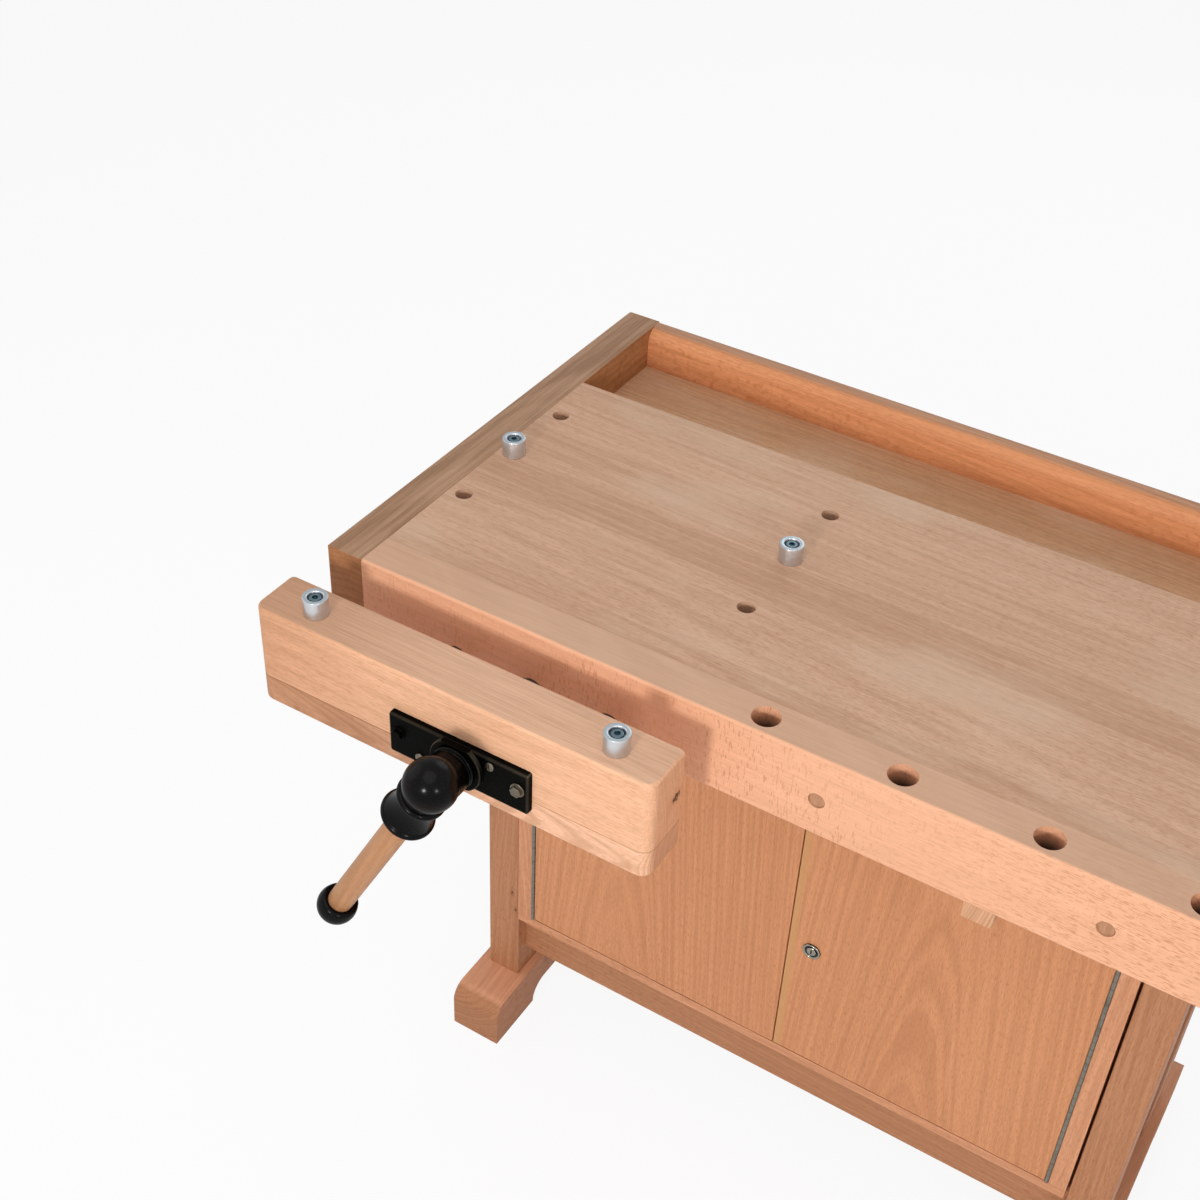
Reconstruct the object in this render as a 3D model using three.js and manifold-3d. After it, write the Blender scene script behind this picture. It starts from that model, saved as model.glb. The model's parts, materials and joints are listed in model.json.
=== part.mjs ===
// Joiner's workbench: glued top with a tool tray, a front vise, an end vise, bench dogs,
// two trestle frames on sled feet and a two-door cabinet between them.
// Millimetres. X runs along the bench, Y from the front edge to the back, Z up from the floor.

import * as THREE from 'three';
import { mergeVertices } from 'three/addons/utils/BufferGeometryUtils.js';
import Module from 'manifold-3d';

const wasm = await Module();
wasm.setup();

// Bench top
const BENCH_LENGTH = 1500;
const BENCH_DEPTH = 630;
const BENCH_HEIGHT = 850;
const TOP_THICKNESS = 54;
const APRON_HEIGHT = 100;
const APRON_THICKNESS = 46;
const END_CAP_WIDTH = 47;
const TRAY_WIDTH = 160;
const TRAY_FLOOR_THICKNESS = 12;
const TRAY_FLOOR_TUCK = 25;
const BACK_RAIL_THICKNESS = 28;
const BACK_RAIL_HEIGHT = 78;
const ARRIS_RADIUS = 4;

// Dog holes, bench dogs and the plugs over the apron's bolts
const EDGE_HOLE_DIAMETER = 30;
const EDGE_HOLE_PITCH = 143.6;
const EDGE_HOLE_FIRST_X = 522;
const EDGE_HOLE_END_MARGIN = 30;
const DOG_HOLE_DIAMETER = 20;
const DOG_COLUMN_X = 66;
const DOG_COLUMN_PITCH = 360;
const DOG_ROW_Y = 162;
const DOG_ROW_PITCH = 100;
const DOG_ROWS = 3;
const DOG_HEAD_DIAMETER = 27;
const DOG_HEAD_HEIGHT = 22;
const DOG_HEAD_CHAMFER = 1.2;
const DOG_SHANK_LENGTH = 50;
const DOG_RECESS_DIAMETER = 16;
const DOG_RECESS_DEPTH = 7;
const PLUG_DIAMETER = 18;
const PLUG_DEPTH = 12;
const PLUG_RECESS = 1;
const PLUG_DROP = 55;

// Trestle frames
const FRAME_INSET_X = 98;
const LEG_WIDTH = 47;
const LEG_DEPTH = 85;
const LEG_INSET_Y = 160;
const LEG_ROUND = 3;
const FOOT_WIDTH = 72;
const FOOT_HEIGHT = 71;
const FOOT_INSET_Y = 91;
const FOOT_NOSE_RADIUS = 23;
const FOOT_PAD_LENGTH = 90;
const FOOT_RELIEF = 28;
const FOOT_ROUND = 3;
const HEAD_RAIL_HEIGHT = 80;
const HEAD_RAIL_OVERHANG = 45;
const STRETCHER_THICKNESS = 25;
const STRETCHER_HEIGHT = 76;
const STRETCHER_SETBACK = 20;
const BEARER_WIDTH = 32;
const BEARER_HEIGHT = 114;
const BEARER_X = 743;

// Cabinet
const CABINET_WIDTH = 768;
const CABINET_SIDE_GAP = 3;
const CABINET_FLOOR_HEIGHT = 186;
const CASE_SIDE_THICKNESS = 21;
const CASE_BOTTOM_THICKNESS = 14;
const CASE_TOP_THICKNESS = 16;
const CASE_BACK_THICKNESS = 8;
const SHELF_THICKNESS = 16;
const SHELF_RISE = 232;
const SHELF_SETBACK = 45;
const DOOR_THICKNESS = 20;
const DOOR_GAP = 1.5;
const DOOR_ROUND = 1.2;

// Piano hinges
const HINGE_BARREL_DIAMETER = 5;
const HINGE_PIN_DIAMETER = 2;
const HINGE_LEAF_THICKNESS = 1;
const HINGE_LEAF_WIDTH = 16;
const HINGE_KNUCKLES = 7;

// Cylinder lock in the right door
const LOCK_INSET = 31;
const LOCK_RISE = 193;
const LOCK_ROSE_DIAMETER = 23;
const LOCK_ROSE_THICKNESS = 2.5;
const LOCK_BARREL_DIAMETER = 18;
const LOCK_PLUG_DIAMETER = 12;
const LOCK_CAM_LENGTH = 44;
const LOCK_CAM_WIDTH = 13;
const LOCK_CAM_THICKNESS = 2.5;
const LOCK_CAM_CORNER = 5.8;
const KEYWAY_WIDTH = 1.6;
const KEYWAY_HEIGHT = 7;
const KEYWAY_DEPTH = 4;

// Vises, the same hardware at the front and at the right end
const JAW_THICKNESS = 64;
const JAW_HEIGHT = 124;
const JAW_UPPER_PLY = 89;
const JAW_CORNER_RADIUS = 14;
const JAW_BACK_CORNER_RADIUS = 6;
const JAW_ROUND = 4;
const FRONT_SCREW_X = 266;
const FRONT_JAW_START_X = 4;
const FRONT_JAW_LENGTH = 478;
const FRONT_VISE_GAP = 60;
const FRONT_JAW_DOG_INSET = 27;
const FRONT_HANDLE_TILT = 27.7;
const END_VISE_GAP = 30;
const END_HANDLE_TILT = 12;
const SCREW_DIAMETER = 28;
const SCREW_CHAMFER = 3.5;
const SCREW_TAIL = 330;
const GUIDE_ROD_DIAMETER = 25;
const GUIDE_FRAME_CLEARANCE = 4;
const GUIDE_ROD_SEAT = 40;
const GUIDE_BOSS_WALL = 8.2;
const GUIDE_BOSS_LENGTH = 80;
const GUIDE_PLATE_THICKNESS = 10;
const GUIDE_PLATE_MARGIN = 12;
const VISE_PLATE_LENGTH = 168;
const VISE_PLATE_HEIGHT = 52;
const VISE_PLATE_THICKNESS = 8;
const VISE_PLATE_CORNER = 3;
const VISE_PLATE_ROUND = 1.5;
const VISE_BOSS_DIAMETER = 62;
const VISE_BOSS_THICKNESS = 5;

// Turned hub and handle
const NECK_DIAMETER = 49;
const NECK_LENGTH = 63;
const SCREW_SOCKET_DEPTH = 40;
const BALL_DIAMETER = 56;
const BALL_RISE = 41;
const BEAD_DIAMETER = 52;
const BEAD_HEIGHT = 8;
const COVE_DIAMETER = 43;
const BELL_DIAMETER = 57;
const BELL_DROP = 25;
const BAR_DIAMETER = 28;
const BAR_SOCKET_DEPTH = 20;
const BAR_LENGTH = 238;
const CAP_DIAMETER = 44;
const CAP_LENGTH = 34;
const CAP_LIP_RADIUS = 5;
const CAP_SOCKET_DEPTH = 14;

// Clearances
const SEAT_CLEARANCE = 0.3;
const RUNNING_CLEARANCE = 0.3;
const PASSING_CLEARANCE = 1.5;

// Facets
const ROUND_SEGMENTS = 20;
const SMALL_SEGMENTS = 10;
const CORNER_SEGMENTS = 3;
const FINE_ROUND = 2;
const MERGE_TOLERANCE = 1e-4;
const CUT_OVERRUN = 5;

// Planes that several pieces share
const topZ = BENCH_HEIGHT;
const slabUnderZ = topZ - TOP_THICKNESS;
const slabBackY = BENCH_DEPTH - BACK_RAIL_THICKNESS - TRAY_WIDTH;
const trayBackY = BENCH_DEPTH - BACK_RAIL_THICKNESS;
const trayUnderZ = slabUnderZ - TRAY_FLOOR_THICKNESS;
const trayTuckY = slabBackY - TRAY_FLOOR_TUCK;
const innerLeftX = END_CAP_WIDTH;
const innerRightX = BENCH_LENGTH - END_CAP_WIDTH;
const edgeHoleY = APRON_THICKNESS / 2;
const legFrontY = LEG_INSET_Y;
const legBackY = BENCH_DEPTH - LEG_INSET_Y;
const headRailUnderZ = slabUnderZ - HEAD_RAIL_HEIGHT;
const leftLegX = FRAME_INSET_X;
const cabinetLeftX = leftLegX + LEG_WIDTH;
const cabinetRightX = cabinetLeftX + CABINET_WIDTH;
const rightLegX = cabinetRightX + CABINET_SIDE_GAP;
const cabinetTopZ = slabUnderZ - BEARER_HEIGHT;
const caseFloorZ = CABINET_FLOOR_HEIGHT + CASE_BOTTOM_THICKNESS;
const caseInnerLeftX = cabinetLeftX + CASE_SIDE_THICKNESS;
const caseInnerRightX = cabinetRightX - CASE_SIDE_THICKNESS;
const doorBottomZ = caseFloorZ + DOOR_GAP;
const doorTopZ = cabinetTopZ - CASE_TOP_THICKNESS - DOOR_GAP;
const doorSeamX = (cabinetLeftX + cabinetRightX) / 2;
const guideBossRadius = Math.max(GUIDE_ROD_DIAMETER, SCREW_DIAMETER) / 2 + GUIDE_BOSS_WALL;
const screwDrop = TOP_THICKNESS + guideBossRadius + SEAT_CLEARANCE;
const screwZ = topZ - screwDrop;
const guideSpread = FRONT_SCREW_X - cabinetLeftX - guideBossRadius - GUIDE_FRAME_CLEARANCE;
const frontJawDogY = -FRONT_VISE_GAP - JAW_THICKNESS + FRONT_JAW_DOG_INSET;
const endScrewY = slabBackY / 2;

// Finishes
const BEECH = { color: 0xe3ae85, roughness: 0.55, metalness: 0 };
const WORN_BEECH = { color: 0xc29a7c, roughness: 0.65, metalness: 0 };
const OILED_BEECH = { color: 0xc98f63, roughness: 0.5, metalness: 0 };
const TURNED_BEECH = { color: 0xc28e64, roughness: 0.5, metalness: 0 };
const BLACK_LACQUER = { color: 0x0f0d0d, roughness: 0.25, metalness: 0.1 };
const CAST_IRON = { color: 0x1a1817, roughness: 0.55, metalness: 0.7 };
const STEEL = { color: 0x9a9a98, roughness: 0.35, metalness: 0.95 };
const ALUMINIUM = { color: 0xd9d9d6, roughness: 0.35, metalness: 0.9 };
const NICKEL = { color: 0xb9b5aa, roughness: 0.25, metalness: 0.95 };

const X_AXIS = new THREE.Vector3(1, 0, 0);
const Y_AXIS = new THREE.Vector3(0, 1, 0);
const Z_AXIS = new THREE.Vector3(0, 0, 1);

const bench = new THREE.Group();

function addPiece(group, name, geometry, finish) {
  const mesh = new THREE.Mesh(geometry, new THREE.MeshStandardMaterial(finish));
  mesh.name = name;
  group.add(mesh);
  return mesh;
}

// A closed solid of a geometry, with shared corners merged and slivers at a lathe's axis dropped
function solidOf(geometry) {
  const bare = geometry.clone();
  bare.deleteAttribute('normal');
  bare.deleteAttribute('uv');
  const merged = mergeVertices(bare, MERGE_TOLERANCE);
  const corners = merged.index.array;
  const kept = [];
  for (let i = 0; i < corners.length; i += 3) {
    const [a, b, c] = corners.slice(i, i + 3);
    if (a !== b && b !== c && c !== a) {
      kept.push(a, b, c);
    }
  }
  return new wasm.Manifold(new wasm.Mesh({
    numProp: 3,
    vertProperties: merged.attributes.position.array,
    triVerts: new Uint32Array(kept),
  }));
}

function geometryOf(solid) {
  const mesh = solid.getMesh();
  const geometry = new THREE.BufferGeometry();
  geometry.setAttribute('position', new THREE.BufferAttribute(mesh.vertProperties, 3));
  geometry.setIndex(new THREE.BufferAttribute(mesh.triVerts, 1));
  geometry.computeVertexNormals();
  return geometry;
}

function cut(geometry, ...tools) {
  return geometryOf(tools.reduce((solid, tool) => solid.subtract(solidOf(tool)), solidOf(geometry)));
}

function join(geometry, ...others) {
  return geometryOf(others.reduce((solid, other) => solid.add(solidOf(other)), solidOf(geometry)));
}

// Straight-sided shapes
function block(x0, x1, y0, y1, z0, z1) {
  const box = new THREE.BoxGeometry(x1 - x0, y1 - y0, z1 - z0);
  return box.translate((x0 + x1) / 2, (y0 + y1) / 2, (z0 + z1) / 2);
}

function roundBar(diameter, length, segments) {
  return new THREE.CylinderGeometry(diameter / 2, diameter / 2, length, segments);
}

function barAlongX(diameter, x0, x1, y, z, segments = ROUND_SEGMENTS) {
  const bar = roundBar(diameter, x1 - x0, segments).rotateZ(-Math.PI / 2);
  return bar.translate((x0 + x1) / 2, y, z);
}

function barAlongY(diameter, y0, y1, x, z, segments = ROUND_SEGMENTS) {
  return roundBar(diameter, y1 - y0, segments).translate(x, (y0 + y1) / 2, z);
}

function barAlongZ(diameter, z0, z1, x, y, segments = ROUND_SEGMENTS) {
  const bar = roundBar(diameter, z1 - z0, segments).rotateX(Math.PI / 2);
  return bar.translate(x, y, (z0 + z1) / 2);
}

// A rectangle with a radius for each corner: near-low, far-low, far-high, near-high
function roundedRect(u0, v0, u1, v1, [nearLow, farLow, farHigh, nearHigh]) {
  const shape = new THREE.Shape();
  shape.moveTo(u0 + nearLow, v0);
  shape.lineTo(u1 - farLow, v0);
  if (farLow) shape.absarc(u1 - farLow, v0 + farLow, farLow, -Math.PI / 2, 0);
  shape.lineTo(u1, v1 - farHigh);
  if (farHigh) shape.absarc(u1 - farHigh, v1 - farHigh, farHigh, 0, Math.PI / 2);
  shape.lineTo(u0 + nearHigh, v1);
  if (nearHigh) shape.absarc(u0 + nearHigh, v1 - nearHigh, nearHigh, Math.PI / 2, Math.PI);
  shape.lineTo(u0, v0 + nearLow);
  if (nearLow) shape.absarc(u0 + nearLow, v0 + nearLow, nearLow, Math.PI, Math.PI * 1.5);
  shape.closePath();
  return shape;
}

function polygon(points) {
  return new THREE.Shape(points.map(([u, v]) => new THREE.Vector2(u, v)));
}

// An extrusion whose end edges can be rounded over within its own length and outline
function extrude(shape, length, round = 0) {
  const geometry = new THREE.ExtrudeGeometry(shape, {
    depth: length - 2 * round,
    curveSegments: CORNER_SEGMENTS,
    bevelEnabled: round > 0,
    bevelThickness: round,
    bevelSize: round,
    bevelOffset: -round,
    bevelSegments: round > FINE_ROUND ? 2 : 1,
  });
  return geometry.translate(0, 0, round);
}

// The shape is drawn in Y and Z
function extrudeX(shape, x0, x1, round) {
  const turn = new THREE.Matrix4().makeBasis(Y_AXIS, Z_AXIS, X_AXIS).setPosition(x0, 0, 0);
  return extrude(shape, x1 - x0, round).applyMatrix4(turn);
}

// The shape is drawn in X and Z
function extrudeY(shape, y0, y1, round) {
  const towardsFront = Y_AXIS.clone().negate();
  const turn = new THREE.Matrix4().makeBasis(X_AXIS, Z_AXIS, towardsFront).setPosition(0, y1, 0);
  return extrude(shape, y1 - y0, round).applyMatrix4(turn);
}

// The shape is drawn in X and Y
function extrudeZ(shape, z0, z1, round) {
  return extrude(shape, z1 - z0, round).translate(0, 0, z0);
}

// A turned piece around its own Y axis, from points of radius and height
function turned(points, segments = ROUND_SEGMENTS) {
  return new THREE.LatheGeometry(points.map(([r, h]) => new THREE.Vector2(r, h)), segments);
}

// Points on an arc, for the profile of a turned piece
function arcPoints(centre, radius, fromDegrees, toDegrees, count) {
  return Array.from({ length: count + 1 }, (_, i) => {
    const angle = THREE.MathUtils.degToRad(fromDegrees + ((toDegrees - fromDegrees) * i) / count);
    return [centre[0] + radius * Math.cos(angle), centre[1] + radius * Math.sin(angle)];
  });
}

function clearHole(diameter, clearance) {
  return diameter + 2 * clearance;
}

// Holes that the vise hardware needs through the edge of the bench it is bolted to
const guideOffsets = [-guideSpread, guideSpread];
const screwPassage = clearHole(SCREW_DIAMETER, PASSING_CLEARANCE);
const rodPassage = clearHole(GUIDE_ROD_DIAMETER, PASSING_CLEARANCE);

// Places along the front edge
const edgeHoleXs = [];
for (let x = EDGE_HOLE_FIRST_X; x < innerRightX - EDGE_HOLE_END_MARGIN; x += EDGE_HOLE_PITCH) {
  edgeHoleXs.push(x);
}
const plugXs = edgeHoleXs.filter((x, i) => i % 2 === 0).map((x) => x + EDGE_HOLE_PITCH / 2);
const apronPlugXs = plugXs.filter((x) => x < innerRightX - EDGE_HOLE_END_MARGIN);
const dogXs = [DOG_COLUMN_X, DOG_COLUMN_X + DOG_COLUMN_PITCH];
const dogRowYs = Array.from({ length: DOG_ROWS }, (_, row) => DOG_ROW_Y + row * DOG_ROW_PITCH);

function addFrontApron() {
  const round = ARRIS_RADIUS;
  const profile = roundedRect(0, topZ - APRON_HEIGHT, APRON_THICKNESS, topZ, [round, 0, 0, round]);
  const beam = extrudeX(profile, innerLeftX, innerRightX);
  const fromZ = topZ - APRON_HEIGHT - CUT_OVERRUN;
  const edgeHoles = edgeHoleXs.map((x) =>
    barAlongZ(EDGE_HOLE_DIAMETER, fromZ, topZ + CUT_OVERRUN, x, edgeHoleY));
  const backY = APRON_THICKNESS + CUT_OVERRUN;
  const screwHole = barAlongY(screwPassage, -CUT_OVERRUN, backY, FRONT_SCREW_X, screwZ);
  const rodHoles = guideOffsets.map((offset) =>
    barAlongY(rodPassage, -CUT_OVERRUN, backY, FRONT_SCREW_X + offset, screwZ));
  const plugHoles = apronPlugXs.map((x) =>
    barAlongY(PLUG_DIAMETER, -CUT_OVERRUN, PLUG_DEPTH, x, topZ - PLUG_DROP, SMALL_SEGMENTS));
  addPiece(bench, 'front_apron', cut(beam, ...edgeHoles, screwHole, ...rodHoles, ...plugHoles), BEECH);
}

function addApronPlugs() {
  const diameter = PLUG_DIAMETER - 2 * SEAT_CLEARANCE;
  apronPlugXs.forEach((x, i) => {
    const plug = barAlongY(diameter, PLUG_RECESS, PLUG_DEPTH, x, topZ - PLUG_DROP, SMALL_SEGMENTS);
    addPiece(bench, `apron_plug_${i + 1}`, plug, WORN_BEECH);
  });
}

function addTopSlab() {
  const slab = block(innerLeftX, innerRightX, APRON_THICKNESS, slabBackY, slabUnderZ, topZ);
  const holes = dogXs.flatMap((x) => dogRowYs.map((y) =>
    barAlongZ(DOG_HOLE_DIAMETER, slabUnderZ - CUT_OVERRUN, topZ + CUT_OVERRUN, x, y)));
  addPiece(bench, 'bench_top', cut(slab, ...holes), WORN_BEECH);
}

function addEndCaps() {
  const round = ARRIS_RADIUS;
  const lowZ = topZ - APRON_HEIGHT;
  const leftProfile = roundedRect(0, lowZ, innerLeftX, topZ, [round, 0, 0, round]);
  addPiece(bench, 'left_end_cap', extrudeY(leftProfile, 0, BENCH_DEPTH), WORN_BEECH);

  const rightProfile = roundedRect(innerRightX, lowZ, BENCH_LENGTH, topZ, [0, round, round, 0]);
  const fromX = innerRightX - CUT_OVERRUN;
  const toX = BENCH_LENGTH + CUT_OVERRUN;
  const screwHole = barAlongX(screwPassage, fromX, toX, endScrewY, screwZ);
  const rodHoles = guideOffsets.map((offset) =>
    barAlongX(rodPassage, fromX, toX, endScrewY + offset, screwZ));
  const cap = cut(extrudeY(rightProfile, 0, BENCH_DEPTH), screwHole, ...rodHoles);
  addPiece(bench, 'right_end_cap', cap, WORN_BEECH);
}

function addToolTray() {
  const floor = block(innerLeftX, innerRightX, trayTuckY, trayBackY, trayUnderZ, slabUnderZ);
  addPiece(bench, 'tray_floor', floor, WORN_BEECH);
  const round = ARRIS_RADIUS;
  const profile = roundedRect(trayBackY, topZ - BACK_RAIL_HEIGHT, BENCH_DEPTH, topZ, [0, 0, round, round]);
  addPiece(bench, 'tray_back_rail', extrudeX(profile, innerLeftX, innerRightX), OILED_BEECH);
}

// A rail from front to back whose top is stepped down under the tray floor
function steppedRail(x0, x1, y0, y1, lowZ) {
  const profile = polygon([
    [y0, lowZ],
    [y1, lowZ],
    [y1, trayUnderZ],
    [trayTuckY, trayUnderZ],
    [trayTuckY, slabUnderZ],
    [y0, slabUnderZ],
  ]);
  return extrudeX(profile, x0, x1);
}

function addCrossBearer() {
  const bearer = steppedRail(BEARER_X, BEARER_X + BEARER_WIDTH, APRON_THICKNESS, trayBackY, cabinetTopZ);
  addPiece(bench, 'cross_bearer', bearer, BEECH);
}

// Side view of a foot: rounded noses, two pads on the floor and a relieved underside
function footProfile() {
  const frontY = FOOT_INSET_Y;
  const backY = BENCH_DEPTH - FOOT_INSET_Y;
  const shoulderZ = FOOT_HEIGHT - FOOT_NOSE_RADIUS;
  const relief = FOOT_RELIEF;
  const shape = new THREE.Shape();
  shape.moveTo(frontY, 0);
  shape.lineTo(frontY + FOOT_PAD_LENGTH, 0);
  shape.absarc(frontY + FOOT_PAD_LENGTH + relief, 0, relief, Math.PI, Math.PI / 2, true);
  shape.absarc(backY - FOOT_PAD_LENGTH - relief, 0, relief, Math.PI / 2, 0, true);
  shape.lineTo(backY, 0);
  shape.lineTo(backY, shoulderZ);
  shape.absarc(backY - FOOT_NOSE_RADIUS, shoulderZ, FOOT_NOSE_RADIUS, 0, Math.PI / 2);
  shape.absarc(frontY + FOOT_NOSE_RADIUS, shoulderZ, FOOT_NOSE_RADIUS, Math.PI / 2, Math.PI);
  shape.closePath();
  return shape;
}

function addTrestle(side, legX) {
  const rounds = Array(4).fill(LEG_ROUND);
  const depths = { front: legFrontY, back: legBackY - LEG_DEPTH };
  for (const [place, y] of Object.entries(depths)) {
    const outline = roundedRect(legX, y, legX + LEG_WIDTH, y + LEG_DEPTH, rounds);
    const leg = extrudeZ(outline, FOOT_HEIGHT, headRailUnderZ);
    addPiece(bench, `${side}_${place}_leg`, leg, OILED_BEECH);
  }
  const footX = legX - (FOOT_WIDTH - LEG_WIDTH) / 2;
  const foot = extrudeX(footProfile(), footX, footX + FOOT_WIDTH, FOOT_ROUND);
  addPiece(bench, `${side}_foot`, foot, OILED_BEECH);
  const railFrontY = legFrontY - HEAD_RAIL_OVERHANG;
  const railBackY = legBackY + HEAD_RAIL_OVERHANG;
  const rail = steppedRail(legX, legX + LEG_WIDTH, railFrontY, railBackY, headRailUnderZ);
  addPiece(bench, `${side}_head_rail`, rail, OILED_BEECH);
}

function addStretchers() {
  const lowZ = CABINET_FLOOR_HEIGHT - STRETCHER_HEIGHT;
  const frontY = legFrontY + STRETCHER_SETBACK;
  const backY = legBackY - STRETCHER_SETBACK - STRETCHER_THICKNESS;
  const places = { front: frontY, back: backY };
  for (const [place, y] of Object.entries(places)) {
    const rail = block(cabinetLeftX, rightLegX, y, y + STRETCHER_THICKNESS, lowZ, CABINET_FLOOR_HEIGHT);
    addPiece(bench, `${place}_stretcher`, rail, OILED_BEECH);
  }
}

function addCabinetCase() {
  const lowZ = CABINET_FLOOR_HEIGHT;
  const left = block(cabinetLeftX, caseInnerLeftX, legFrontY, legBackY, caseFloorZ, cabinetTopZ);
  addPiece(bench, 'cabinet_left_side', left, OILED_BEECH);
  const right = block(caseInnerRightX, cabinetRightX, legFrontY, legBackY, caseFloorZ, cabinetTopZ);
  addPiece(bench, 'cabinet_right_side', right, OILED_BEECH);
  const bottom = block(cabinetLeftX, cabinetRightX, legFrontY, legBackY, lowZ, caseFloorZ);
  addPiece(bench, 'cabinet_bottom', bottom, OILED_BEECH);
  const topLowZ = cabinetTopZ - CASE_TOP_THICKNESS;
  const top = block(caseInnerLeftX, caseInnerRightX, legFrontY, legBackY, topLowZ, cabinetTopZ);
  addPiece(bench, 'cabinet_top', top, OILED_BEECH);
  const backY = legBackY - CASE_BACK_THICKNESS;
  const back = block(caseInnerLeftX, caseInnerRightX, backY, legBackY, caseFloorZ, topLowZ);
  addPiece(bench, 'cabinet_back', back, OILED_BEECH);
  const shelfZ = caseFloorZ + SHELF_RISE;
  const shelfFrontY = legFrontY + SHELF_SETBACK;
  const shelf = block(caseInnerLeftX, caseInnerRightX, shelfFrontY, backY, shelfZ, shelfZ + SHELF_THICKNESS);
  addPiece(bench, 'cabinet_shelf', shelf, OILED_BEECH);
}

// The hinge barrel fills the gap between the case side and the door's edge
const leftHingeX = caseInnerLeftX + HINGE_BARREL_DIAMETER / 2;
const rightHingeX = caseInnerRightX - HINGE_BARREL_DIAMETER / 2;
const lockX = doorSeamX + LOCK_INSET;
const lockZ = doorBottomZ + LOCK_RISE;

function doorPanel(x0, x1) {
  const outline = roundedRect(x0, doorBottomZ, x1, doorTopZ, [0, 0, 0, 0]);
  return extrudeY(outline, legFrontY, legFrontY + DOOR_THICKNESS, DOOR_ROUND);
}

function addDoors() {
  const leftX = leftHingeX + HINGE_BARREL_DIAMETER / 2;
  const rightX = rightHingeX - HINGE_BARREL_DIAMETER / 2;
  addPiece(bench, 'left_door', doorPanel(leftX, doorSeamX - DOOR_GAP / 2), OILED_BEECH);
  const right = doorPanel(doorSeamX + DOOR_GAP / 2, rightX);
  const backY = legFrontY + DOOR_THICKNESS + CUT_OVERRUN;
  const lockHoleDiameter = clearHole(LOCK_BARREL_DIAMETER, SEAT_CLEARANCE);
  const lockHole = barAlongY(lockHoleDiameter, legFrontY - CUT_OVERRUN, backY, lockX, lockZ);
  addPiece(bench, 'right_door', cut(right, lockHole), OILED_BEECH);
}

// One leaf of a piano hinge: a strip that stands clear of the barrel, tabs and its own knuckles.
// side is -1 where the strip lies to the left of the pin, 1 to the right.
function hingeLeaf(pinX, side, knuckles, bored) {
  const radius = HINGE_BARREL_DIAMETER / 2;
  const outerX = pinX + side * radius;
  const innerX = outerX - side * HINGE_LEAF_THICKNESS;
  const [x0, x1] = [Math.min(outerX, innerX), Math.max(outerX, innerX)];
  const stripY = legFrontY + radius + RUNNING_CLEARANCE;
  const strip = block(x0, x1, stripY, stripY + HINGE_LEAF_WIDTH, doorBottomZ, doorTopZ);
  const pitch = (doorTopZ - doorBottomZ) / HINGE_KNUCKLES;
  const pieces = knuckles.flatMap((k) => {
    const lowZ = doorBottomZ + k * pitch + RUNNING_CLEARANCE / 2;
    const highZ = lowZ + pitch - RUNNING_CLEARANCE;
    const knuckle = barAlongZ(HINGE_BARREL_DIAMETER, lowZ, highZ, pinX, legFrontY, SMALL_SEGMENTS);
    const tab = block(x0, x1, legFrontY, stripY + RUNNING_CLEARANCE, lowZ, highZ);
    return [knuckle, tab];
  });
  const leaf = join(strip, ...pieces);
  if (!bored) {
    return join(leaf, barAlongZ(HINGE_PIN_DIAMETER, doorBottomZ, doorTopZ, pinX, legFrontY, SMALL_SEGMENTS));
  }
  const bore = clearHole(HINGE_PIN_DIAMETER, RUNNING_CLEARANCE);
  const [fromZ, toZ] = [doorBottomZ - CUT_OVERRUN, doorTopZ + CUT_OVERRUN];
  return cut(leaf, barAlongZ(bore, fromZ, toZ, pinX, legFrontY, SMALL_SEGMENTS));
}

function addHinges() {
  const order = Array.from({ length: HINGE_KNUCKLES }, (_, k) => k);
  const caseKnuckles = order.filter((k) => k % 2 === 0);
  const doorKnuckles = order.filter((k) => k % 2 === 1);
  const hinges = { left: [leftHingeX, -1], right: [rightHingeX, 1] };
  for (const [name, [pinX, caseSide]] of Object.entries(hinges)) {
    addPiece(bench, `${name}_hinge_case_leaf`, hingeLeaf(pinX, caseSide, caseKnuckles, false), STEEL);
    addPiece(bench, `${name}_hinge_door_leaf`, hingeLeaf(pinX, -caseSide, doorKnuckles, true), STEEL);
  }
}

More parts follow.
